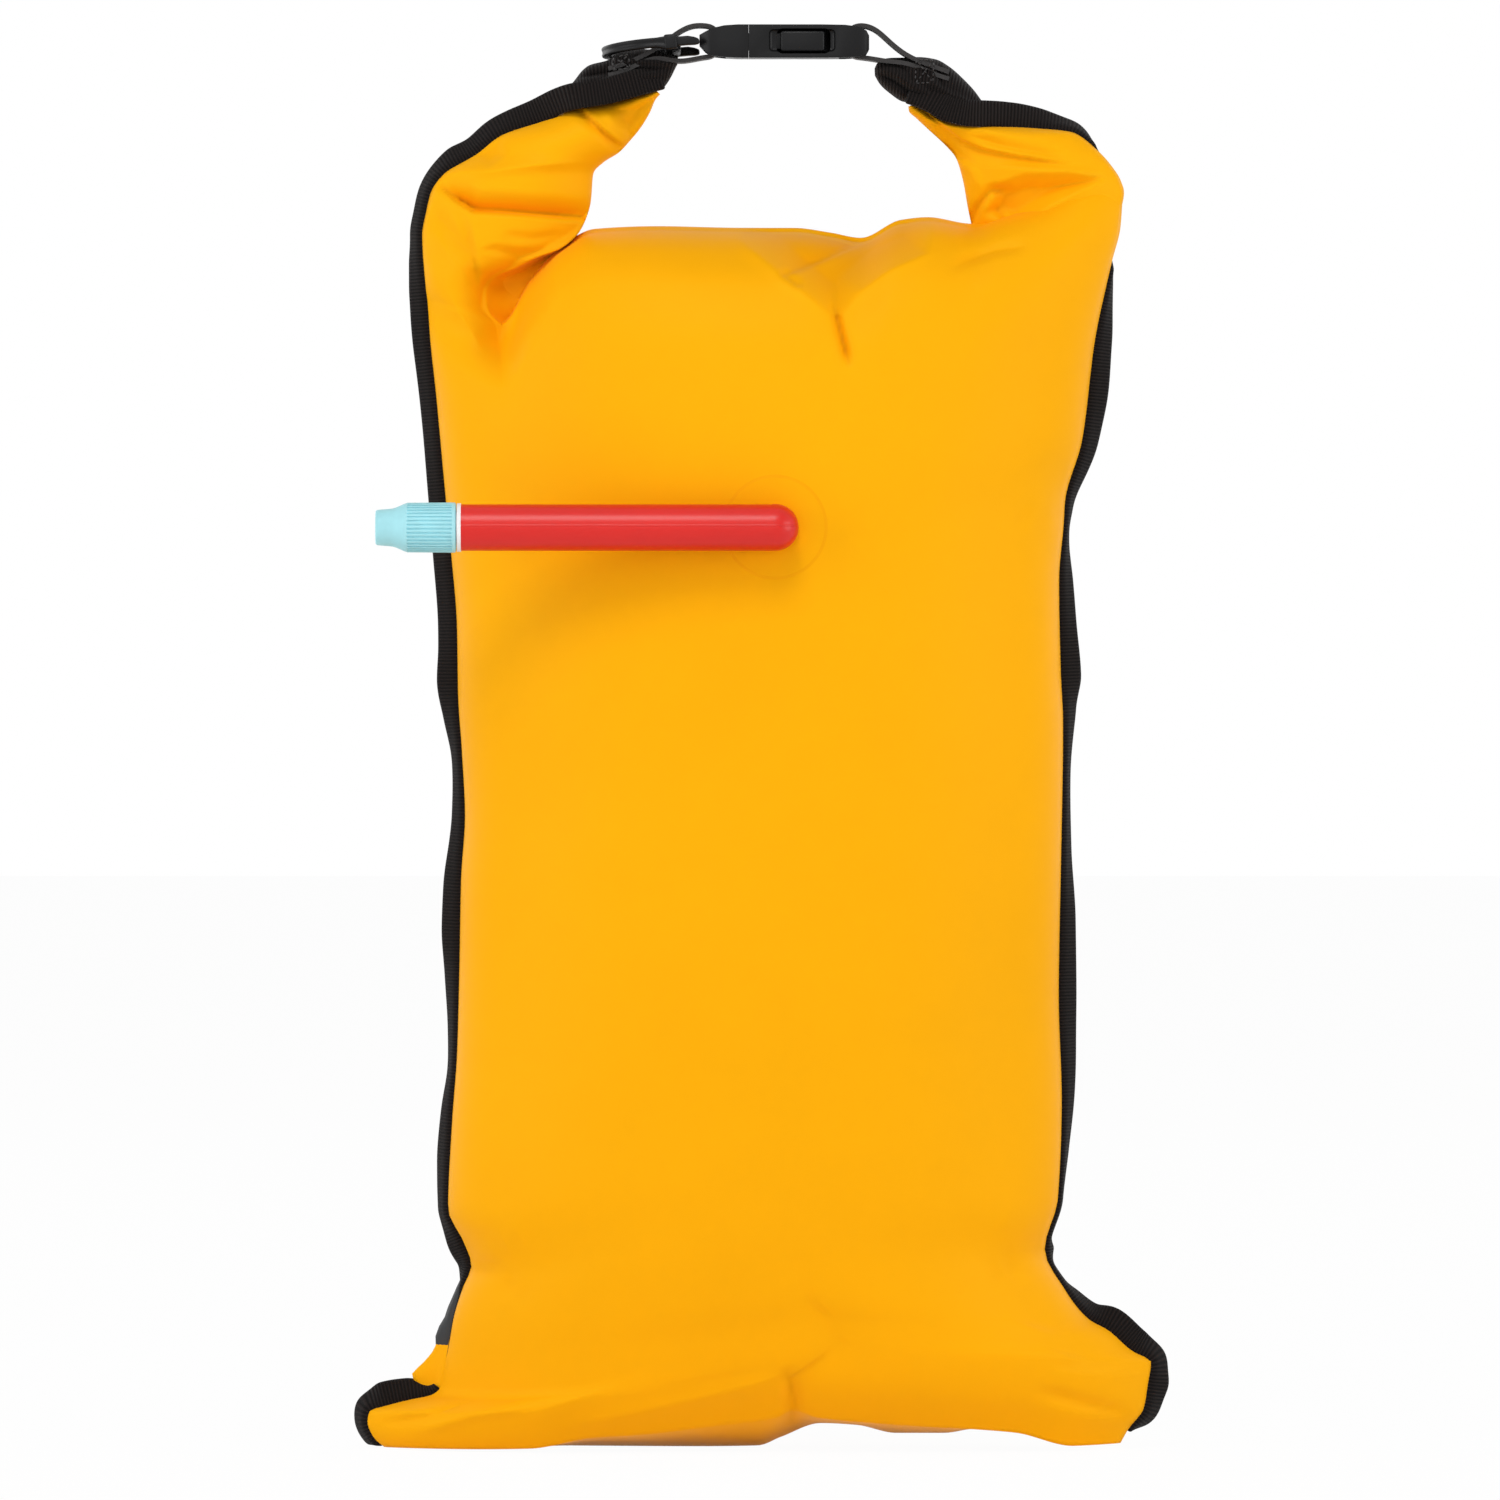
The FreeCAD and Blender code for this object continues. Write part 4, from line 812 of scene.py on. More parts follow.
class BAG_OT_right_arm(bpy.types.Operator):
    """Makes the right arm, tucked in behind the body's shoulder fold"""
    bl_idname = "bag.right_arm"
    bl_label = "Right Arm"

    def execute(self, context):
        front, back = arm_sheets(RIGHT_ARM, RIGHT_ARM_FOLDS, RIGHT_ARM_DENTS)
        cloth = Sheets()
        cloth.add(front, (0, 60), (0, 110), True)
        cloth.add(back, (0, 60), (0, 110))
        for start, end in ((front[:, -1], back[:, -1]), (front[0], back[0]), (front[-1], back[-1])):
            cloth.add(between(start, end, 4), (0, 60), (0, 20))
        arm = smooth(cloth.sewn("right_arm_fabric"))
        # Painted shade in the right arm's creases and hollows.
        mark_painted_crease_shade(arm, RIGHT_ARM_FOLDS, RIGHT_ARM_DENTS, 0.03, lambda x, y, z: y < 3)
        dress(arm, "coated_fabric")
        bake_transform(arm)
        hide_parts("collar_arm_right")
        return {"FINISHED"}


def seam_path(edge, rungs, end):
    """Dense X, Z points along a side seam and on along the arm's outer edge."""
    body = through(edge)(np.linspace(0, 1, 900))
    return np.concatenate([body, along([body[-1], *(rung[:2] for rung in rungs), end], 500)[1:]])


def unit(rows):
    return rows / np.linalg.norm(rows, axis=-1)[..., None]


def folded_tape(name, path, knots, count, outward_turn=1, round_end=0.0):
    """A folded tape along a seam: what doesn't show outside leans back."""
    sizes = bpy.context.scene.bag_sizes
    wide, thick = sizes.tape_width / MM, sizes.tape_thickness / MM
    reach = reached(path)
    rows = [(reach[np.argmin(np.hypot(*(path - k[:2]).T))], k[2], k[3] if len(k) > 3 else 0.0) for k in knots]
    at = np.linspace(rows[0][0], rows[-1][0], count)
    x, z = np.interp(at, reach, path[:, 0]), np.interp(at, reach, path[:, 1])
    shown, ahead = through(rows)(at).T
    tangent = unit(np.gradient(np.stack([x, z], -1), axis=0))
    # The tape can't follow sharp corners, so its direction is evened out.
    blur = np.exp(-np.linspace(-2, 2, 9) ** 2)
    tangent = unit(np.stack([np.convolve(np.pad(line, 4, mode="edge"), blur / blur.sum(), "valid")
                             for line in tangent.T], -1))
    out_x, out_z = -tangent[:, 1] * outward_turn, tangent[:, 0] * outward_turn
    tucked = np.minimum(shown, 0)
    x, z = x + out_x * tucked, z + out_z * tucked
    width = np.full(count, wide)
    if round_end:
        width = width * np.sqrt(1 - (1 - np.clip((at[-1] - at) / round_end, 0, 1)) ** 2 * 0.96)
    lean = np.arccos(np.clip(np.maximum(shown, 0.3) / wide, 0.05, 1))
    wave = 0.35 * np.sin(at / 9.0) + 0.25 * np.sin(at / 5.3 + 1.0)
    section = []
    for a, b in TAPE_SECTION:
        out = a * width * (1.0 if a > 0 else 1 - 0.92 * ease(ahead, 0.5, 4.0))
        off = b * thick
        outside = out * np.cos(lean) + off * np.sin(lean) if a > 0 else out + off * np.sin(lean)
        depth = (out * np.sin(lean) if a > 0 else 0.0) - off * np.cos(lean) + wave * a - ahead
        section.append(np.stack([x + out_x * outside, depth, np.maximum(z + out_z * outside, 0.2)], -1))
    cloth = Sheets()
    cloth.add(np.array(section + section[:1]), at, (0, 22))
    piece = mesh_from(name, cloth.points, cloth.faces, cloth.uvs)
    with mesh_work(piece) as work:
        work.verts.ensure_lookup_table()
        for end in (0, count - 1):
            work.faces.new([work.verts[k * count + end] for k in range(len(TAPE_SECTION))])
    weld(piece)
    apply_modifier(piece, "SUBSURF", levels=1, render_levels=1)
    return dress(smooth(piece), "binding_tape")


class BAG_OT_bindings(bpy.types.Operator):
    """Makes the ribbed tapes along both side seams and arms"""
    bl_idname = "bag.bindings"
    bl_label = "Side Bindings"

    def execute(self, context):
        left_seam = seam_path(LEFT_EDGE, LEFT_ARM[1:], (-35.4, 510.0))
        right_seam = seam_path(RIGHT_EDGE, RIGHT_ARM[3:], (51.6, 505.2))
        ear = folded_tape("ear_tape_left", left_seam, EAR_TAPE, 70, round_end=3.4)
        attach(ear, "bag")
        left = folded_tape("side_tape_left", left_seam, LEFT_TAPE, 420)
        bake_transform(left)
        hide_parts("side_binding_left", "arm_binding_left", "seam_flange_left")
        right = folded_tape("side_tape_right", right_seam, RIGHT_TAPE, 480, -1)
        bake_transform(right)
        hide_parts("side_binding_right", "arm_binding_right", "seam_flange_right")
        return {"FINISHED"}


# ---- arm tips ---------------------------------------------------------------

# Rungs along a black tip: lower X, Z, upper X, Z, half depth.
LEFT_BUNDLE = (
    (-75.8, 502.6, -76, 508.2, 5.7), (-70.2, 503.4, -71.4, 511.4, 9.1), (-66.4, 503.7, -67.2, 516.6, 11.4),
    (-63.6, 503.8, -64.9, 518.4, 12), (-57, 504, -57.2, 520.7, 12.6), (-54.6, 504.6, -55.2, 522.6, 13),
    (-49.6, 506, -50, 524.3, 13.3), (-46, 506.8, -46.2, 524.7, 13.3), (-40.5, 508.2, -40, 524, 13.3),
    (-37, 509.6, -34.4, 522.6, 12.5), (-34.2, 513.5, -31.8, 520.8, 9.9), (-32.8, 516.5, -31.6, 518.6, 6.4),
)
RIGHT_BUNDLE = (
    (82.6, 500, 82.4, 504.8, 5.7), (77.6, 497.2, 79.8, 508.6, 9.1), (72.7, 497, 75.6, 513.2, 11.4),
    (67, 498.4, 70.2, 518, 12.5), (61.2, 501.6, 65, 520.8, 13.1), (57.2, 503.6, 58.9, 521.6, 13.3),
    (52.6, 504.4, 53.4, 521.4, 13.1), (48, 507.4, 47.8, 521.2, 11.9), (44, 511.2, 43.4, 519.6, 9.9),
    (42.2, 514.4, 42.1, 517, 6.4),
)
LEFT_BUNDLE_FOLDS = (
    (4.2, 0.6, 3.8, (-74, 512.4), (-65.8, 513.7), (-51.6, 515.3), (-44.9, 516), (-33, 516.6)),
    (1.6, 2.2, -1, (-76, 510), (-62, 512), (-46, 513.8), (-34, 514.6)),
    (1.8, 1.6, -2.4, (-52, 519.6), (-44, 518.8), (-33, 518.4)),
    (1.2, 2, 2.2, (-49, 516.4), (-46.8, 520), (-44, 523.8)),
    (1.2, 1.2, 1.4, (-58.5, 516.4), (-56, 520), (-55, 524)),
    (1.5, 1, 1.8, (-46, 520.6), (-40, 521.2), (-33, 520.6)),
)
RIGHT_BUNDLE_FOLDS = (
    (0.7, 3, 3.4, (42, 515.4), (45.2, 514.4), (49.2, 512.7), (56.7, 507.5), (62.4, 504.9), (66, 502.6)),
    (2, 1.6, -1.8, (43, 517), (49.8, 514.8), (57, 509.8), (63, 507)),
    (2, 0.6, 2.6, (82, 500.6), (71, 504.3), (63, 509), (60, 511.4)),
    (1.6, 2, -1.8, (80, 503.4), (71, 506.8), (63.2, 511.6), (60, 513.8)),
    (1.3, 2, 2, (46, 519.6), (52, 517.6), (56.4, 514.6)),
    (1.4, 2, 1.8, (66.5, 520.4), (66.2, 515), (67.5, 509.6)),
)


def puffed_bundle(name, rungs, folds, columns=22, rows=64):
    """Folded black layers bound together at an arm's tip."""
    x, z, a, values, length = rung_grid(rungs, columns, rows)
    depth = values[:, :1] * np.clip(1 - np.abs(2 * a - 1) ** 3.2, 0, 1) ** 0.5
    puffed = depth - np.where(depth > 1.5, fold_press(x, z, folds), 0.0)
    front, back = (np.stack([x, side * puffed, z], -1) for side in (-1, 1))
    cloth = Sheets()
    cloth.add(front, (0, 20), (0, length), True)
    cloth.add(back, (0, 20), (0, length))
    for end in (0, -1):
        cloth.add(np.stack([front[end], back[end]]), (0, 0), (0, 0), end == 0)
    cloth.uvs = np.array(cloth.uvs)[:, ::-1]
    piece = cloth.sewn(name)
    apply_modifier(piece, "SUBSURF", levels=1, render_levels=1)
    return dress(smooth(piece, 50), "binding_tape")


def stitched_box(name, corners, ahead, pitch=1.9):
    """A box of short raised stitches with a cross, on the front of a tip."""
    points, faces = [], []
    a, b, c, d = [np.array(k, float) for k in corners]
    angles = [turn * math.pi / 3 for turn in range(6)]
    for start, stop in ((a, b), (b, c), (c, d), (d, a), (a, c), (b, d)):
        length = np.linalg.norm(stop - start)
        way = (stop - start) / length
        beside = np.array([-way[1], way[0]]) * THREAD_RADIUS
        for k in range(int(length / pitch)):
            low, high = (start + way * (k + share) * pitch for share in (0.14, 0.86))
            base = len(points)
            for t, lift, wide in ((0, -0.15, 0.5), (0.2, 0.25, 1.0), (0.8, 0.25, 1.0), (1, -0.15, 0.5)):
                for angle in angles:
                    spot = low + (high - low) * t + beside * math.cos(angle) * wide
                    points.append((spot[0], -ahead - lift - THREAD_RADIUS * math.sin(angle) * wide, spot[1]))
            for p in range(base, base + 18):
                q = p + 1 if (p - base) % 6 < 5 else p - 5
                faces.append((p, q, q + 6, p + 6))
            faces += [range(base + 5, base - 1, -1), range(base + 18, base + 24)]
    return dress(smooth(weld(mesh_from(name, points, faces))), "thread")


class BAG_OT_tips(bpy.types.Operator):
    """Makes the black folded tips of both arms with their box stitches"""
    bl_idname = "bag.tips"
    bl_label = "Arm Tips"

    def execute(self, context):
        for side, rungs, folds, box in (
            ("left", LEFT_BUNDLE, LEFT_BUNDLE_FOLDS, ((-55.9, 516.2), (-49.4, 516.9), (-49.8, 522.0), (-55.4, 521.0))),
            ("right", RIGHT_BUNDLE, RIGHT_BUNDLE_FOLDS, ((57.2, 511.2), (63.8, 511.6), (64.1, 519.8), (57.6, 520.2))),
        ):
            tip = puffed_bundle("tip_bundle_" + side, rungs, folds)
            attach(tip, side + "_arm")
            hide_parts("mouth_band_" + side)
            stitches = stitched_box("box_stitch_" + side, box, 13.2)
            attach(stitches, side + "_arm")
            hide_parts("bar_tack_" + side)
        return {"FINISHED"}


# ---- buckle and ring --------------------------------------------------------

def start_edit(piece, mode="FACE", action="DESELECT"):
    """Edit mode with nothing selected, or all; gives the mesh to pick from."""
    only(piece)
    bpy.ops.object.mode_set(mode="EDIT")
    bpy.ops.mesh.select_mode(type=mode)
    bpy.ops.mesh.select_all(action=action)
    return bmesh.from_edit_mesh(piece.data)


def pick(work, piece, test, kind="faces"):
    """Selects faces or points that a test of their place accepts."""
    for item in (*work.faces, *work.verts):
        item.select_set(False)
    for item in getattr(work, kind):
        spot = item.calc_center_median() if kind == "faces" else item.co
        if test(spot / MM, item):
            item.select_set(True)
    work.select_flush_mode()
    bmesh.update_edit_mesh(piece.data)


def extrude(move, scale):
    """Draws the selection out by millimetres and scales it."""
    bpy.ops.mesh.extrude_region_move(TRANSFORM_OT_translate={"value": [v * MM for v in move]})
    bpy.ops.transform.resize(value=scale)


def close_edit():
    """Turns all faces outwards and leaves edit mode."""
    bpy.ops.mesh.select_all(action="SELECT")
    bpy.ops.mesh.normals_make_consistent(inside=False)
    bpy.ops.object.mode_set(mode="OBJECT")


def settled(name):
    """Names what an operator has just added, its place and size in its mesh."""
    piece = bpy.context.object
    piece.name = piece.data.name = name
    bpy.ops.object.transform_apply(location=True, rotation=True, scale=True)
    return piece


def add_block(name, low, high):
    """A block between two corners in millimetres."""
    deselect()
    low, high = Vector(low), Vector(high)
    bpy.ops.mesh.primitive_cube_add(size=1, location=(low + high) / 2 * MM)
    bpy.context.object.scale = (high - low) * MM
    return settled(name)


def side_block(name, side, low, high):
    """A block whose Y is counted from the middle towards one side."""
    near, far = sorted((side * low[1], side * high[1]))
    return add_block(name, (low[0], near, low[2]), (high[0], far, high[2]))


def drawn_out(piece, stations, sign=-1):
    """Draws a block out along X: each station moves, then scales the end face."""
    for step, (wide, tall), shift in stations:
        work = start_edit(piece)
        end = max(f.calc_center_median().x * sign for f in work.faces)
        pick(work, piece, lambda c, f: abs(c.x * sign * MM - end) < 1e-6 and abs(f.normal.x) > 0.9)
        extrude((sign * step, 0, shift), (1, wide, tall))
        bpy.ops.object.mode_set(mode="OBJECT")
    return piece


def cut_away(piece, *cutters):
    """Cuts pieces out of another with booleans and removes the cutters."""
    for cutter in cutters:
        apply_modifier(piece, "BOOLEAN", operation="DIFFERENCE", object=cutter, solver="EXACT")
        bpy.data.objects.remove(cutter)


def cut_bar(piece, middle, slot, end):
    """Cuts the webbing's slot, and steps above and below the bar beside it."""
    outer = sorted((slot[0] + 0.2 if slot[0] > 0 else slot[1] - 0.2, end))
    for (low, high), bottom, top in ((slot, -20, 20), (outer, 2.7, 20), (outer, -20, -2.7)):
        cut_away(piece, add_block("cutter", (low, -13.0, middle + bottom), (high, 13.0, middle + top)))


def round_edges(piece, width, segments=3, degrees=28):
    apply_modifier(piece, "BEVEL", width=width * MM, segments=segments, limit_method="ANGLE",
                   angle_limit=math.radians(degrees), use_clamp_overlap=True, harden_normals=False)
    return smooth(piece, 40)


def joined(piece, *others):
    only(piece, *others)
    bpy.ops.object.join()
    return piece


class BAG_OT_buckle(bpy.types.Operator):
    """Models the side-release buckle: two halves and two release buttons"""
    bl_idname = "bag.buckle"
    bl_label = "Buckle"

    def execute(self, context):
        nose = (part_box("buckle_male")[0] / MM).x
        low, high = [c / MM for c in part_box("buckle_female")]
        middle, half = (low.z + high.z) / 2, (high.y - low.y) / 2
        parting, gap, rise = -5.0, 0.04, 6.2
        male = add_block(
            "buckle_half_male", (parting - 4.0, -half, middle - rise), (parting - gap, half, middle + rise))
        drawn_out(male, ((5.0, (1.0, 0.955), -0.05), (4.6, (0.985, 0.87), -0.25), (2.6, (0.95, 0.72), 0.15),
                         (2.2, (0.90, 0.52), 0.55)))
        cut_bar(male, middle, (-18.6, -13.6), nose - 10)
        round_edges(male, 1.05)
        dress(male, "buckle_plastic")
        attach(male, "male_half")

        female = add_block(
            "buckle_half_female", (parting + gap, -half, middle - rise), (parting + 27.0, half, middle + rise))
        drawn_out(female, ((9.0, (1.0, 0.985), -0.06), (5.2, (0.99, 0.92), -0.2), (2.8, (0.96, 0.78), -0.2),
                           (1.0, (0.93, 0.60), -0.1)), sign=1)
        cut_bar(female, middle, (28.8, 33.4), high.x + 10)
        for side in (-1, 1):
            scoop = side_block("scoop", side, (5.4, 10.5, middle - 4.7), (25.6, 30, middle + 4.7))
            round_edges(scoop, 2.2, 4, 60)
            dish = side_block("dish", side, (2.6, half - 1.7, middle - 4.0), (27.4, 30, middle + 4.4))
            cut_away(female, scoop, round_edges(dish, 1.6, 4, 60))
        for left, right, tall in ((-half + 2.4, -4.4, 3.4), (4.4, half - 2.4, 3.4), (-4.5, 4.5, 1.7)):
            cut_away(female, add_block("well", (parting - 1, left, middle - tall), (21.6, right, middle + tall)))
        round_edges(female, 0.95)
        dress(female, "buckle_plastic")
        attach(female, "female_half")
        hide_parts("buckle_female")

        tongue = add_block("buckle_tongue", (parting - 6.0, -4.0, middle - 1.5), (21.4, 4.0, middle + 1.5))
        plug = add_block(
            "plug", (parting - 3.0, -half + 2.8, middle - 3.1), (parting + 3.0, half - 2.8, middle + 3.1))
        round_edges(plug, 0.6)
        joined(round_edges(tongue, 0.8), plug)
        dress(tongue, "buckle_plastic")
        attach(tongue, "male_half")
        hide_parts("buckle_male")

        outer = half - 0.5
        for side, name in ((-1, "front"), (1, "back")):
            button = side_block(
                "release_button_" + name, side, (6.9, outer - 3.4, middle - 3.9), (23.4, outer, middle + 3.9))
            stem = side_block(
                "stem", side, (parting - 5.0, outer - 3.6, middle - 3.0), (9.0, outer - 1.4, middle + 3.0))
            joined(round_edges(button, 0.9), round_edges(stem, 0.5, 2))
            dress(button, "buckle_plastic")
            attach(button, name + "_release")
            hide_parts("release_arm_" + name)
        return {"FINISHED"}


class BAG_OT_ring(bpy.types.Operator):
    """Models the D-ring: a flat-sided moulded bar with a stepped hinge end"""
    bl_idname = "bag.ring"
    bl_label = "D-Ring"

    def execute(self, context):
        reach, level, turns = 17.6, 526.0, 28
        bend_x = (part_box("d_ring")[0] / MM).x + reach + 1.7
        straight = bend_x + 39.2
        deselect()
        bpy.ops.mesh.primitive_plane_add(size=1, location=(0, 0, 0), rotation=(0, math.pi / 2, 0))
        ring = settled("d_ring_bar")
        ring.scale = (1, 3.2 * MM, 4.6 * MM)
        ring.location = Vector((-34.4, -reach, level - 0.3)) * MM
        settled("d_ring_bar")
        start_edit(ring, action="SELECT")
        bpy.ops.mesh.delete(type="ONLY_FACE")
        bpy.ops.mesh.select_mode(type="EDGE")
        bpy.ops.mesh.select_all(action="SELECT")
        bpy.ops.mesh.subdivide(number_cuts=3)
        # A shallow groove runs along the bar's outer and inner side.
        pick(start_edit(ring, "VERT"), ring, lambda c, v: abs(c.z - level + 0.3) < 0.05, "verts")
        bpy.ops.transform.resize(value=(1, 0.74, 1), center_override=(-34.4 * MM, -reach * MM, level * MM))
        bpy.ops.mesh.select_mode(type="EDGE")
        bpy.ops.mesh.select_all(action="SELECT")
        for step, tall, shift in ((-2.2, 0.98, 0.0), (-2.6, 0.80, 0.25), (straight, 1.0, 0.0)):
            extrude((step, 0, shift), (1, 1, tall))
        for _ in range(turns):
            extrude((0, 0, 0), (1, 1, 1))
            bpy.ops.transform.rotate(
                value=math.pi / turns, orient_axis="Z", center_override=(bend_x * MM, 0, level * MM))
        for step, tall, shift in ((-straight, 1.0, 0.0), (2.6, 1.25, -0.25), (2.2, 1.02, 0.0)):
            extrude((step, 0, shift), (1, 1, tall))
        bpy.ops.mesh.select_all(action="SELECT")
        bpy.ops.mesh.fill_holes(sides=0)
        close_edit()
        weld(ring, 0.00001)
        if min(v.co.x for v in ring.data.vertices) > (bend_x - reach) * MM:
            raise RuntimeError("the ring's bend went the wrong way")
        round_edges(ring, 0.55, 3, 40)
        parts = []
        for side in (-1, 1):
            knuckle = side_block(
                "knuckle", side, (-36.4, reach - 2.2, level - 3.0), (-31.4, reach + 1.9, level + 2.6))
            prong = side_block("prong", side, (-32.0, reach - 2.0, level - 1.9), (-27.4, reach + 1.2, level + 1.5))
            drawn_out(prong, ((2.4, (0.9, 0.86), -0.35), (1.8, (0.8, 0.66), -0.3)), sign=1)
            parts += [round_edges(knuckle, 0.9), round_edges(prong, 0.6)]
        bar = add_block("bar", (-33.4, -reach, level - 1.7), (-30.2, reach, level + 1.5))
        joined(ring, *parts, round_edges(bar, 0.9))
        # The ring lies on the tip: its far end a little higher, level from front to back.
        start_edit(ring, action="SELECT")
        for degrees, axis in ((5.0, "Y"), (5.6, "X")):
            bpy.ops.transform.rotate(
                value=math.radians(degrees), orient_axis=axis, center_override=Vector((-31.0, 0, 523.0)) * MM)
        bpy.ops.transform.translate(value=(0, 0, -0.0006))
        bpy.ops.object.mode_set(mode="OBJECT")
        dress(ring, "ring_plastic")
        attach(ring, "ring")
        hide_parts("d_ring")
        return {"FINISHED"}


# ---- valve ------------------------------------------------------------------

# Along the cap from the tube's side: X, radius.
CAP_PROFILE = (
    (-112.9, 8.7), (-113.3, 9.25), (-114.4, 9.3), (-130.9, 9.2), (-132.2, 8.75), (-133.6, 8.1), (-135, 7.5),
    (-136.4, 7.05), (-138.4, 6.85), (-141.4, 6.62), (-142.3, 6.45), (-142.7, 6), (-142.7, 2.6), (-139, 2.4),
)


class BAG_OT_cap(bpy.types.Operator):
    """Models the twist cap: a smooth spout that swells into a ribbed grip"""
    bl_idname = "bag.cap"
    bl_label = "Valve Cap"

    def execute(self, context):
        box = [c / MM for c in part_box("nozzle_cap")]
        middle, shift = (box[0] + box[1]) / 2, box[0].x + 144.1
        ribs, per_rib = 38, 4
        start_x, start_radius = CAP_PROFILE[0]
        deselect()
        bpy.ops.mesh.primitive_circle_add(
            vertices=ribs * per_rib, radius=start_radius * MM, rotation=(0, math.pi / 2, 0),
            location=Vector((start_x + shift, middle.y, middle.z)) * MM)
        cap = settled("twist_cap")
        start_edit(cap, "EDGE", "SELECT")
        for (x0, r0), (x1, r1) in zip(CAP_PROFILE, CAP_PROFILE[1:]):
            extrude((x1 - x0, 0, 0), (1, r1 / r0, r1 / r0))
        bpy.ops.mesh.edge_face_add()
        close_edit()

        def on_rib(spot, face):
            angle = math.atan2(spot.z - middle.z, spot.y - middle.y) % (2 * math.pi)
            column = int(angle / (2 * math.pi) * ribs * per_rib + 0.001)
            return -130.6 < spot.x - shift < -115 and column % per_rib in (0, 1) and len(face.verts) == 4

        pick(start_edit(cap), cap, on_rib)
        bpy.ops.mesh.extrude_region_shrink_fatten(TRANSFORM_OT_shrink_fatten={"value": -0.0006})
        bpy.ops.object.mode_set(mode="OBJECT")
        if (Vector(cap.bound_box[6]) - Vector(cap.bound_box[0])).z < 0.018:
            raise RuntimeError("the cap's ribs went inwards")
        # Marks the grooves between the ribs, where the cap's colour gets painted shade.
        groove = cap.data.attributes.new("groove", "FLOAT", "POINT")
        for index, vert in enumerate(cap.data.vertices):
            spot = vert.co / MM
            radius = math.hypot(spot.y - middle.y, spot.z - middle.z)
            groove.data[index].value = float(-130.4 < spot.x - shift < -114.6 and radius < 9.45)
        round_edges(cap, 0.12, 1, 35)
        dress(cap, "valve_plastic")
        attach(cap, "valve_cap")
        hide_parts("nozzle_cap")
        return {"FINISHED"}


# ---- back -------------------------------------------------------------------

class BAG_OT_back_patch(bpy.types.Operator):
    """Makes the dark panel sewn over the back, following its curve"""
    bl_idname = "bag.back_patch"
    bl_label = "Back Patch"

    def execute(self, context):
        low, high = [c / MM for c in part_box("back_reinforcement")]
        sheet, across, _ = body_sheet(1)
        lines = sheet[:, (across > 0.0005) & (across < 0.9995)].transpose(1, 2, 0)
        levels = np.linspace(low.z, high.z, 84)
        patch = np.stack([(np.interp(levels, z, x), np.interp(levels, z, y), levels) for x, y, z in lines], 1).T
        normal = unit(np.cross(np.gradient(patch, axis=0), np.gradient(patch, axis=1)))
        normal *= np.where(normal[..., 1:2].mean() < 0, -1, 1)
        i, j = np.indices(patch.shape[:2])
        rim = np.minimum(np.minimum(i, i[::-1]), np.minimum(j, j[:, ::-1]))
        # A tucked-in edge, a raised hem and the dip of its seam.
        lift = np.select([rim == 0, rim < 3, rim == 3], [-0.6, 1.45, 0.65], 0.9)
        outer = (patch + normal * lift[..., None]).reshape(-1, 3)
        piece = mesh_from("back_patch", outer, grid_faces(*lift.shape), patch[..., ::2].reshape(-1, 2))
        with mesh_work(piece) as work:
            bmesh.ops.recalc_face_normals(work, faces=work.faces)
            if sum(f.normal.y for f in work.faces) < 0:
                bmesh.ops.reverse_faces(work, faces=work.faces)
        apply_modifier(piece, "SOLIDIFY", thickness=0.0008, offset=-1.0)
        dress(smooth(piece, 50), "patch_fabric")
        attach(piece, "bag")
        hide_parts("back_reinforcement")
        return {"FINISHED"}


class BAG_OT_roll(bpy.types.Operator):
    """Makes the rolled mouth as one long spiral of cloth"""
    bl_idname = "bag.roll"
    bl_label = "Rolled Mouth"

    def execute(self, context):
        low, high = [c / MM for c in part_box("rolled_mouth")]
        middle_y, middle_z = (low.y + high.y) / 2, (low.z + high.z) / 2
        radius = (high.y - low.y) / 2
        rows, around, turns = 90, 84, 2.6
        path = along([
            (low.x - 20.0, middle_z + 17.0, -8.0, 0.62), (low.x - 7.0, middle_z + 7.0, -3.5, 0.86),
            (low.x + 8.0, middle_z + 1.5, -0.8, 1.0), (low.x + 30.0, middle_z, 0.0, 1.0),
            ((low.x + high.x) / 2, middle_z - 0.4, 0.0, 1.0), (high.x - 28.0, middle_z, 0.0, 1.0),
            (high.x - 8.0, middle_z + 1.6, -0.8, 1.0), (high.x + 8.0, middle_z + 8.0, -3.5, 0.86),
            (high.x + 20.0, middle_z + 18.0, -8.0, 0.62),
        ], rows)
        angle = np.linspace(0, 2 * math.pi * turns, around)
        spiral = radius * (1.0 - 0.30 * (angle / angle[-1]))
        outer_y, outer_z = spiral * np.cos(angle + 2.2), spiral * np.sin(angle + 2.2)
        x, z, y, share = (column[:, None] for column in path.T)
        share = share * (1 + 0.018 * np.sin(x / 7.0) + 0.012 * np.sin(x / 3.1 + 1))
        cloth = Sheets()
        cloth.add(np.stack([np.tile(x, around), middle_y + y + outer_y * share,
                            z + outer_z * share * (1 - 0.06 * np.cos(x / 40.0))], -1),
                  reached(np.stack([outer_y, outer_z], -1)), path[:, 0])
        roll = mesh_from("mouth_roll", cloth.points, cloth.faces, cloth.uvs)
        apply_modifier(roll, "SOLIDIFY", thickness=0.0007, offset=1.0)
        dress(smooth(weld(roll), 60), "coated_fabric")
        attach(roll, "bag")
        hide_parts("rolled_mouth")
        return {"FINISHED"}


# ---- stage ------------------------------------------------------------------

WHITE = (1, 1, 1, 1)
FLOOR_GLOW = 0.965      # how far the floor is lifted towards white for the camera
LAMP_AIM = (0, 0, 0.26)
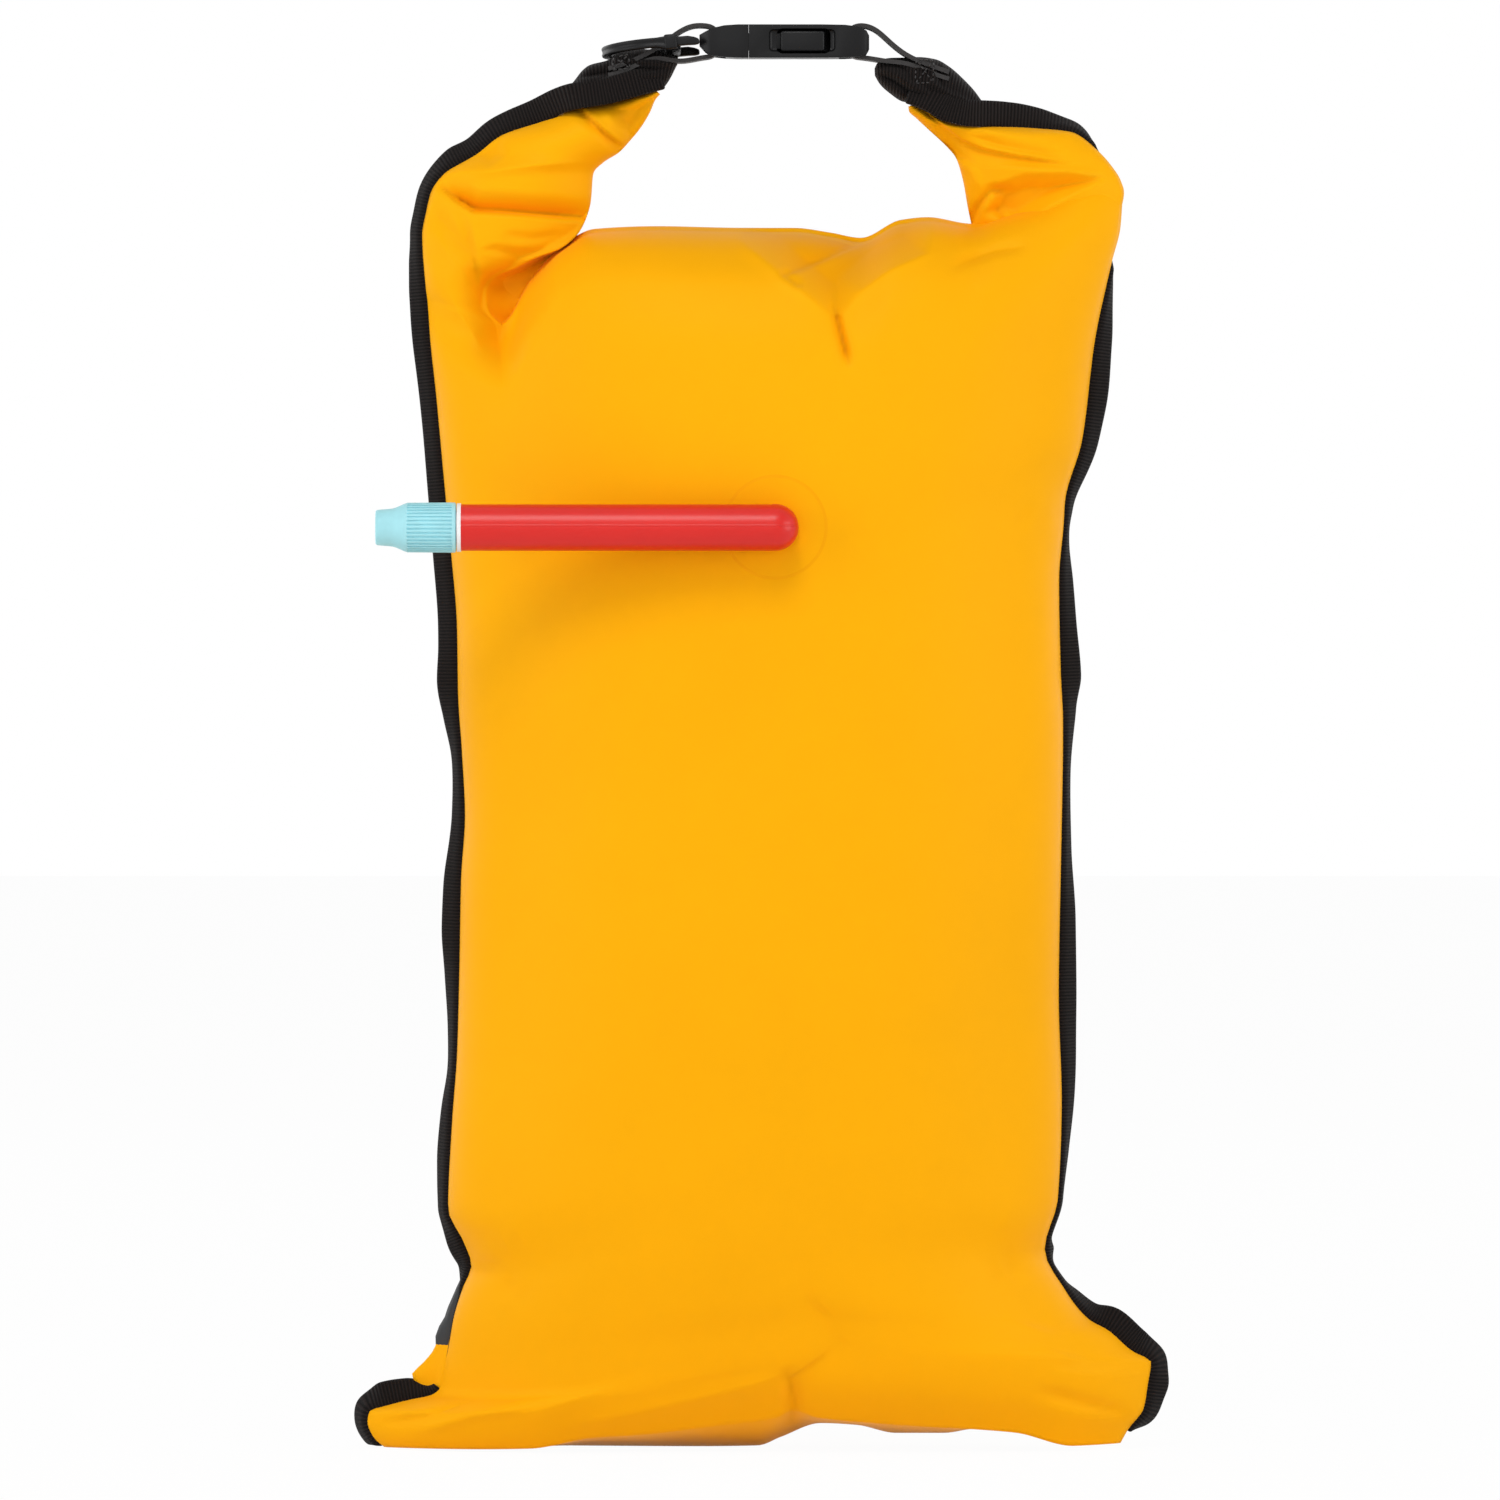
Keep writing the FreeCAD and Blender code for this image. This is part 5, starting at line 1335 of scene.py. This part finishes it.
# Area lamps, all aimed at the bag's middle: place, size, power.
LAMPS = {
    "key_light": ((-0.2, -1.7, 2.3), 0.9, 22),
    "left_light": ((-1.7, -0.9, 0.7), 1.2, 12),
    "right_light": ((1.7, -0.9, 0.6), 1.2, 12),
    "front_light": ((-0.3, -2.6, 0.8), 1.2, 3.5),
    "back_left_light": ((-1.7, 1.6, 0.8), 1.4, 9),
    "back_right_light": ((1.7, 1.6, 0.8), 1.4, 9),
}


def white_seen_by(tree):
    """1 for what the camera sees itself, in gloss or through glass."""
    rays = add_node(tree, "ShaderNodeLightPath").outputs
    seen = sum_node(tree, "MAXIMUM", rays["Is Camera Ray"], rays["Is Glossy Ray"])
    return sum_node(tree, "MAXIMUM", seen, rays["Is Transmission Ray"])


class BAG_OT_stage(bpy.types.Operator):
    """Makes the pale floor, the soft light and the camera"""
    bl_idname = "bag.stage"
    bl_label = "Stage"

    def execute(self, context):
        scene = context.scene
        deselect()
        bpy.ops.mesh.primitive_plane_add(size=scene.bag_sizes.stage_width, location=(0, 0, -0.0006))
        floor = settled("floor")
        material, tree, shader = start_material("floor_paper", Base_Color=(0.93, 0.93, 0.93, 1), Roughness=0.9)
        glow = add_node(tree, "ShaderNodeEmission", {"Color": WHITE, "Strength": 1.0})
        mix = add_node(tree, "ShaderNodeMixShader", {
            "Fac": sum_node(tree, "MULTIPLY", white_seen_by(tree), FLOOR_GLOW),
            1: shader.outputs["BSDF"], 2: glow.outputs["Emission"]})
        tree.links.new(mix.outputs["Shader"], tree.nodes["Material Output"].inputs["Surface"])
        floor.data.materials.append(material)

        world = scene.world = scene.world or bpy.data.worlds.new("studio")
        world.use_nodes = True
        tree = world.node_tree
        tree.nodes.clear()
        soft, plain = (add_node(tree, "ShaderNodeBackground", {"Color": WHITE, "Strength": strength})
                       for strength in (0.35, 1.0))
        mix = add_node(tree, "ShaderNodeMixShader", {
            "Fac": white_seen_by(tree), 1: soft.outputs["Background"], 2: plain.outputs["Background"]})
        add_node(tree, "ShaderNodeOutputWorld", {"Surface": mix.outputs["Shader"]})

        for name, (place, size, power) in LAMPS.items():
            lamp = bpy.data.lights.new(name, "AREA")
            lamp.size, lamp.energy = size, power
            holder = bpy.data.objects.new(name, lamp)
            holder.location = place
            holder.rotation_euler = (Vector(LAMP_AIM) - Vector(place)).to_track_quat("-Z", "Y").to_euler()
            scene.collection.objects.link(holder)

        camera = bpy.data.cameras.new("camera")
        camera.sensor_width, camera.lens = 36, 352.2
        camera.clip_start, camera.clip_end = 0.05, 50
        holder = bpy.data.objects.new("camera", camera)
        holder.location = (-0.0045, -5.5, 0.41175)
        holder.rotation_euler = (math.pi / 2 - math.atan(0.15 / 5.5), 0, 0)
        scene.collection.objects.link(holder)
        scene.camera = holder
        scene.view_settings.view_transform = "Standard"
        return {"FINISHED"}


class BAG_OT_finishes(bpy.types.Operator):
    """Gives the carried-over hard pieces their finishes"""
    bl_idname = "bag.finishes"
    bl_label = "Hard Piece Finishes"

    def execute(self, context):
        for finish, names in {
            "coated_fabric": "rolled_mouth", "patch_fabric": "back_reinforcement",
            "binding_tape": "mouth_band_left mouth_band_right",
            "webbing": "webbing_loop_left webbing_loop_right", "thread": "bar_tack_left bar_tack_right",
            "buckle_plastic": "buckle_male buckle_female release_arm_front release_arm_back",
            "ring_plastic": "d_ring", "stiffener": "mouth_stiffener", "tube_vinyl": "tube tube_stub",
            "flange_film": "tube_flange", "neck_plastic": "valve_neck", "seal_rubber": "nozzle_seal",
            "valve_plastic": "nozzle_cap",
        }.items():
            for name in names.split():
                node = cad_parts[name]
                if not node.material_slots:
                    node.data.materials.append(finish_named(finish))
                for slot in node.material_slots:
                    slot.material = finish_named(finish)
        return {"FINISHED"}


class BAG_PT_panel(bpy.types.Panel):
    """Sizes, colours and steps of the dry bag"""
    bl_idname = "BAG_PT_panel"
    bl_label = "Dry Bag"
    bl_space_type = "VIEW_3D"
    bl_region_type = "UI"
    bl_category = "Dry Bag"

    def draw(self, context):
        layout = self.layout
        for group in (context.scene.bag_sizes, context.scene.bag_colours):
            box = layout.box()
            for name in group.bl_rna.properties.keys():
                if name not in ("rna_type", "name"):
                    box.prop(group, name)
        for step in STEPS:
            layout.operator(step.bl_idname)


STEPS = (
    BAG_OT_finishes, BAG_OT_shell, BAG_OT_right_arm, BAG_OT_bindings, BAG_OT_tips, BAG_OT_buckle,
    BAG_OT_ring, BAG_OT_cap, BAG_OT_back_patch, BAG_OT_roll, BAG_OT_stage,
)
CLASSES = (BagSizes, BagColours, *STEPS, BAG_PT_panel)


def register():
    for cls in CLASSES:
        bpy.utils.register_class(cls)
    bpy.types.Scene.bag_sizes = PointerProperty(type=BagSizes)
    bpy.types.Scene.bag_colours = PointerProperty(type=BagColours)


def unregister():
    del bpy.types.Scene.bag_colours
    del bpy.types.Scene.bag_sizes
    for cls in reversed(CLASSES):
        bpy.utils.unregister_class(cls)


def main():
    register()
    for step in STEPS:
        group, action = step.bl_idname.split(".")
        getattr(getattr(bpy.ops, group), action)()


if __name__ == "__main__":
    main()
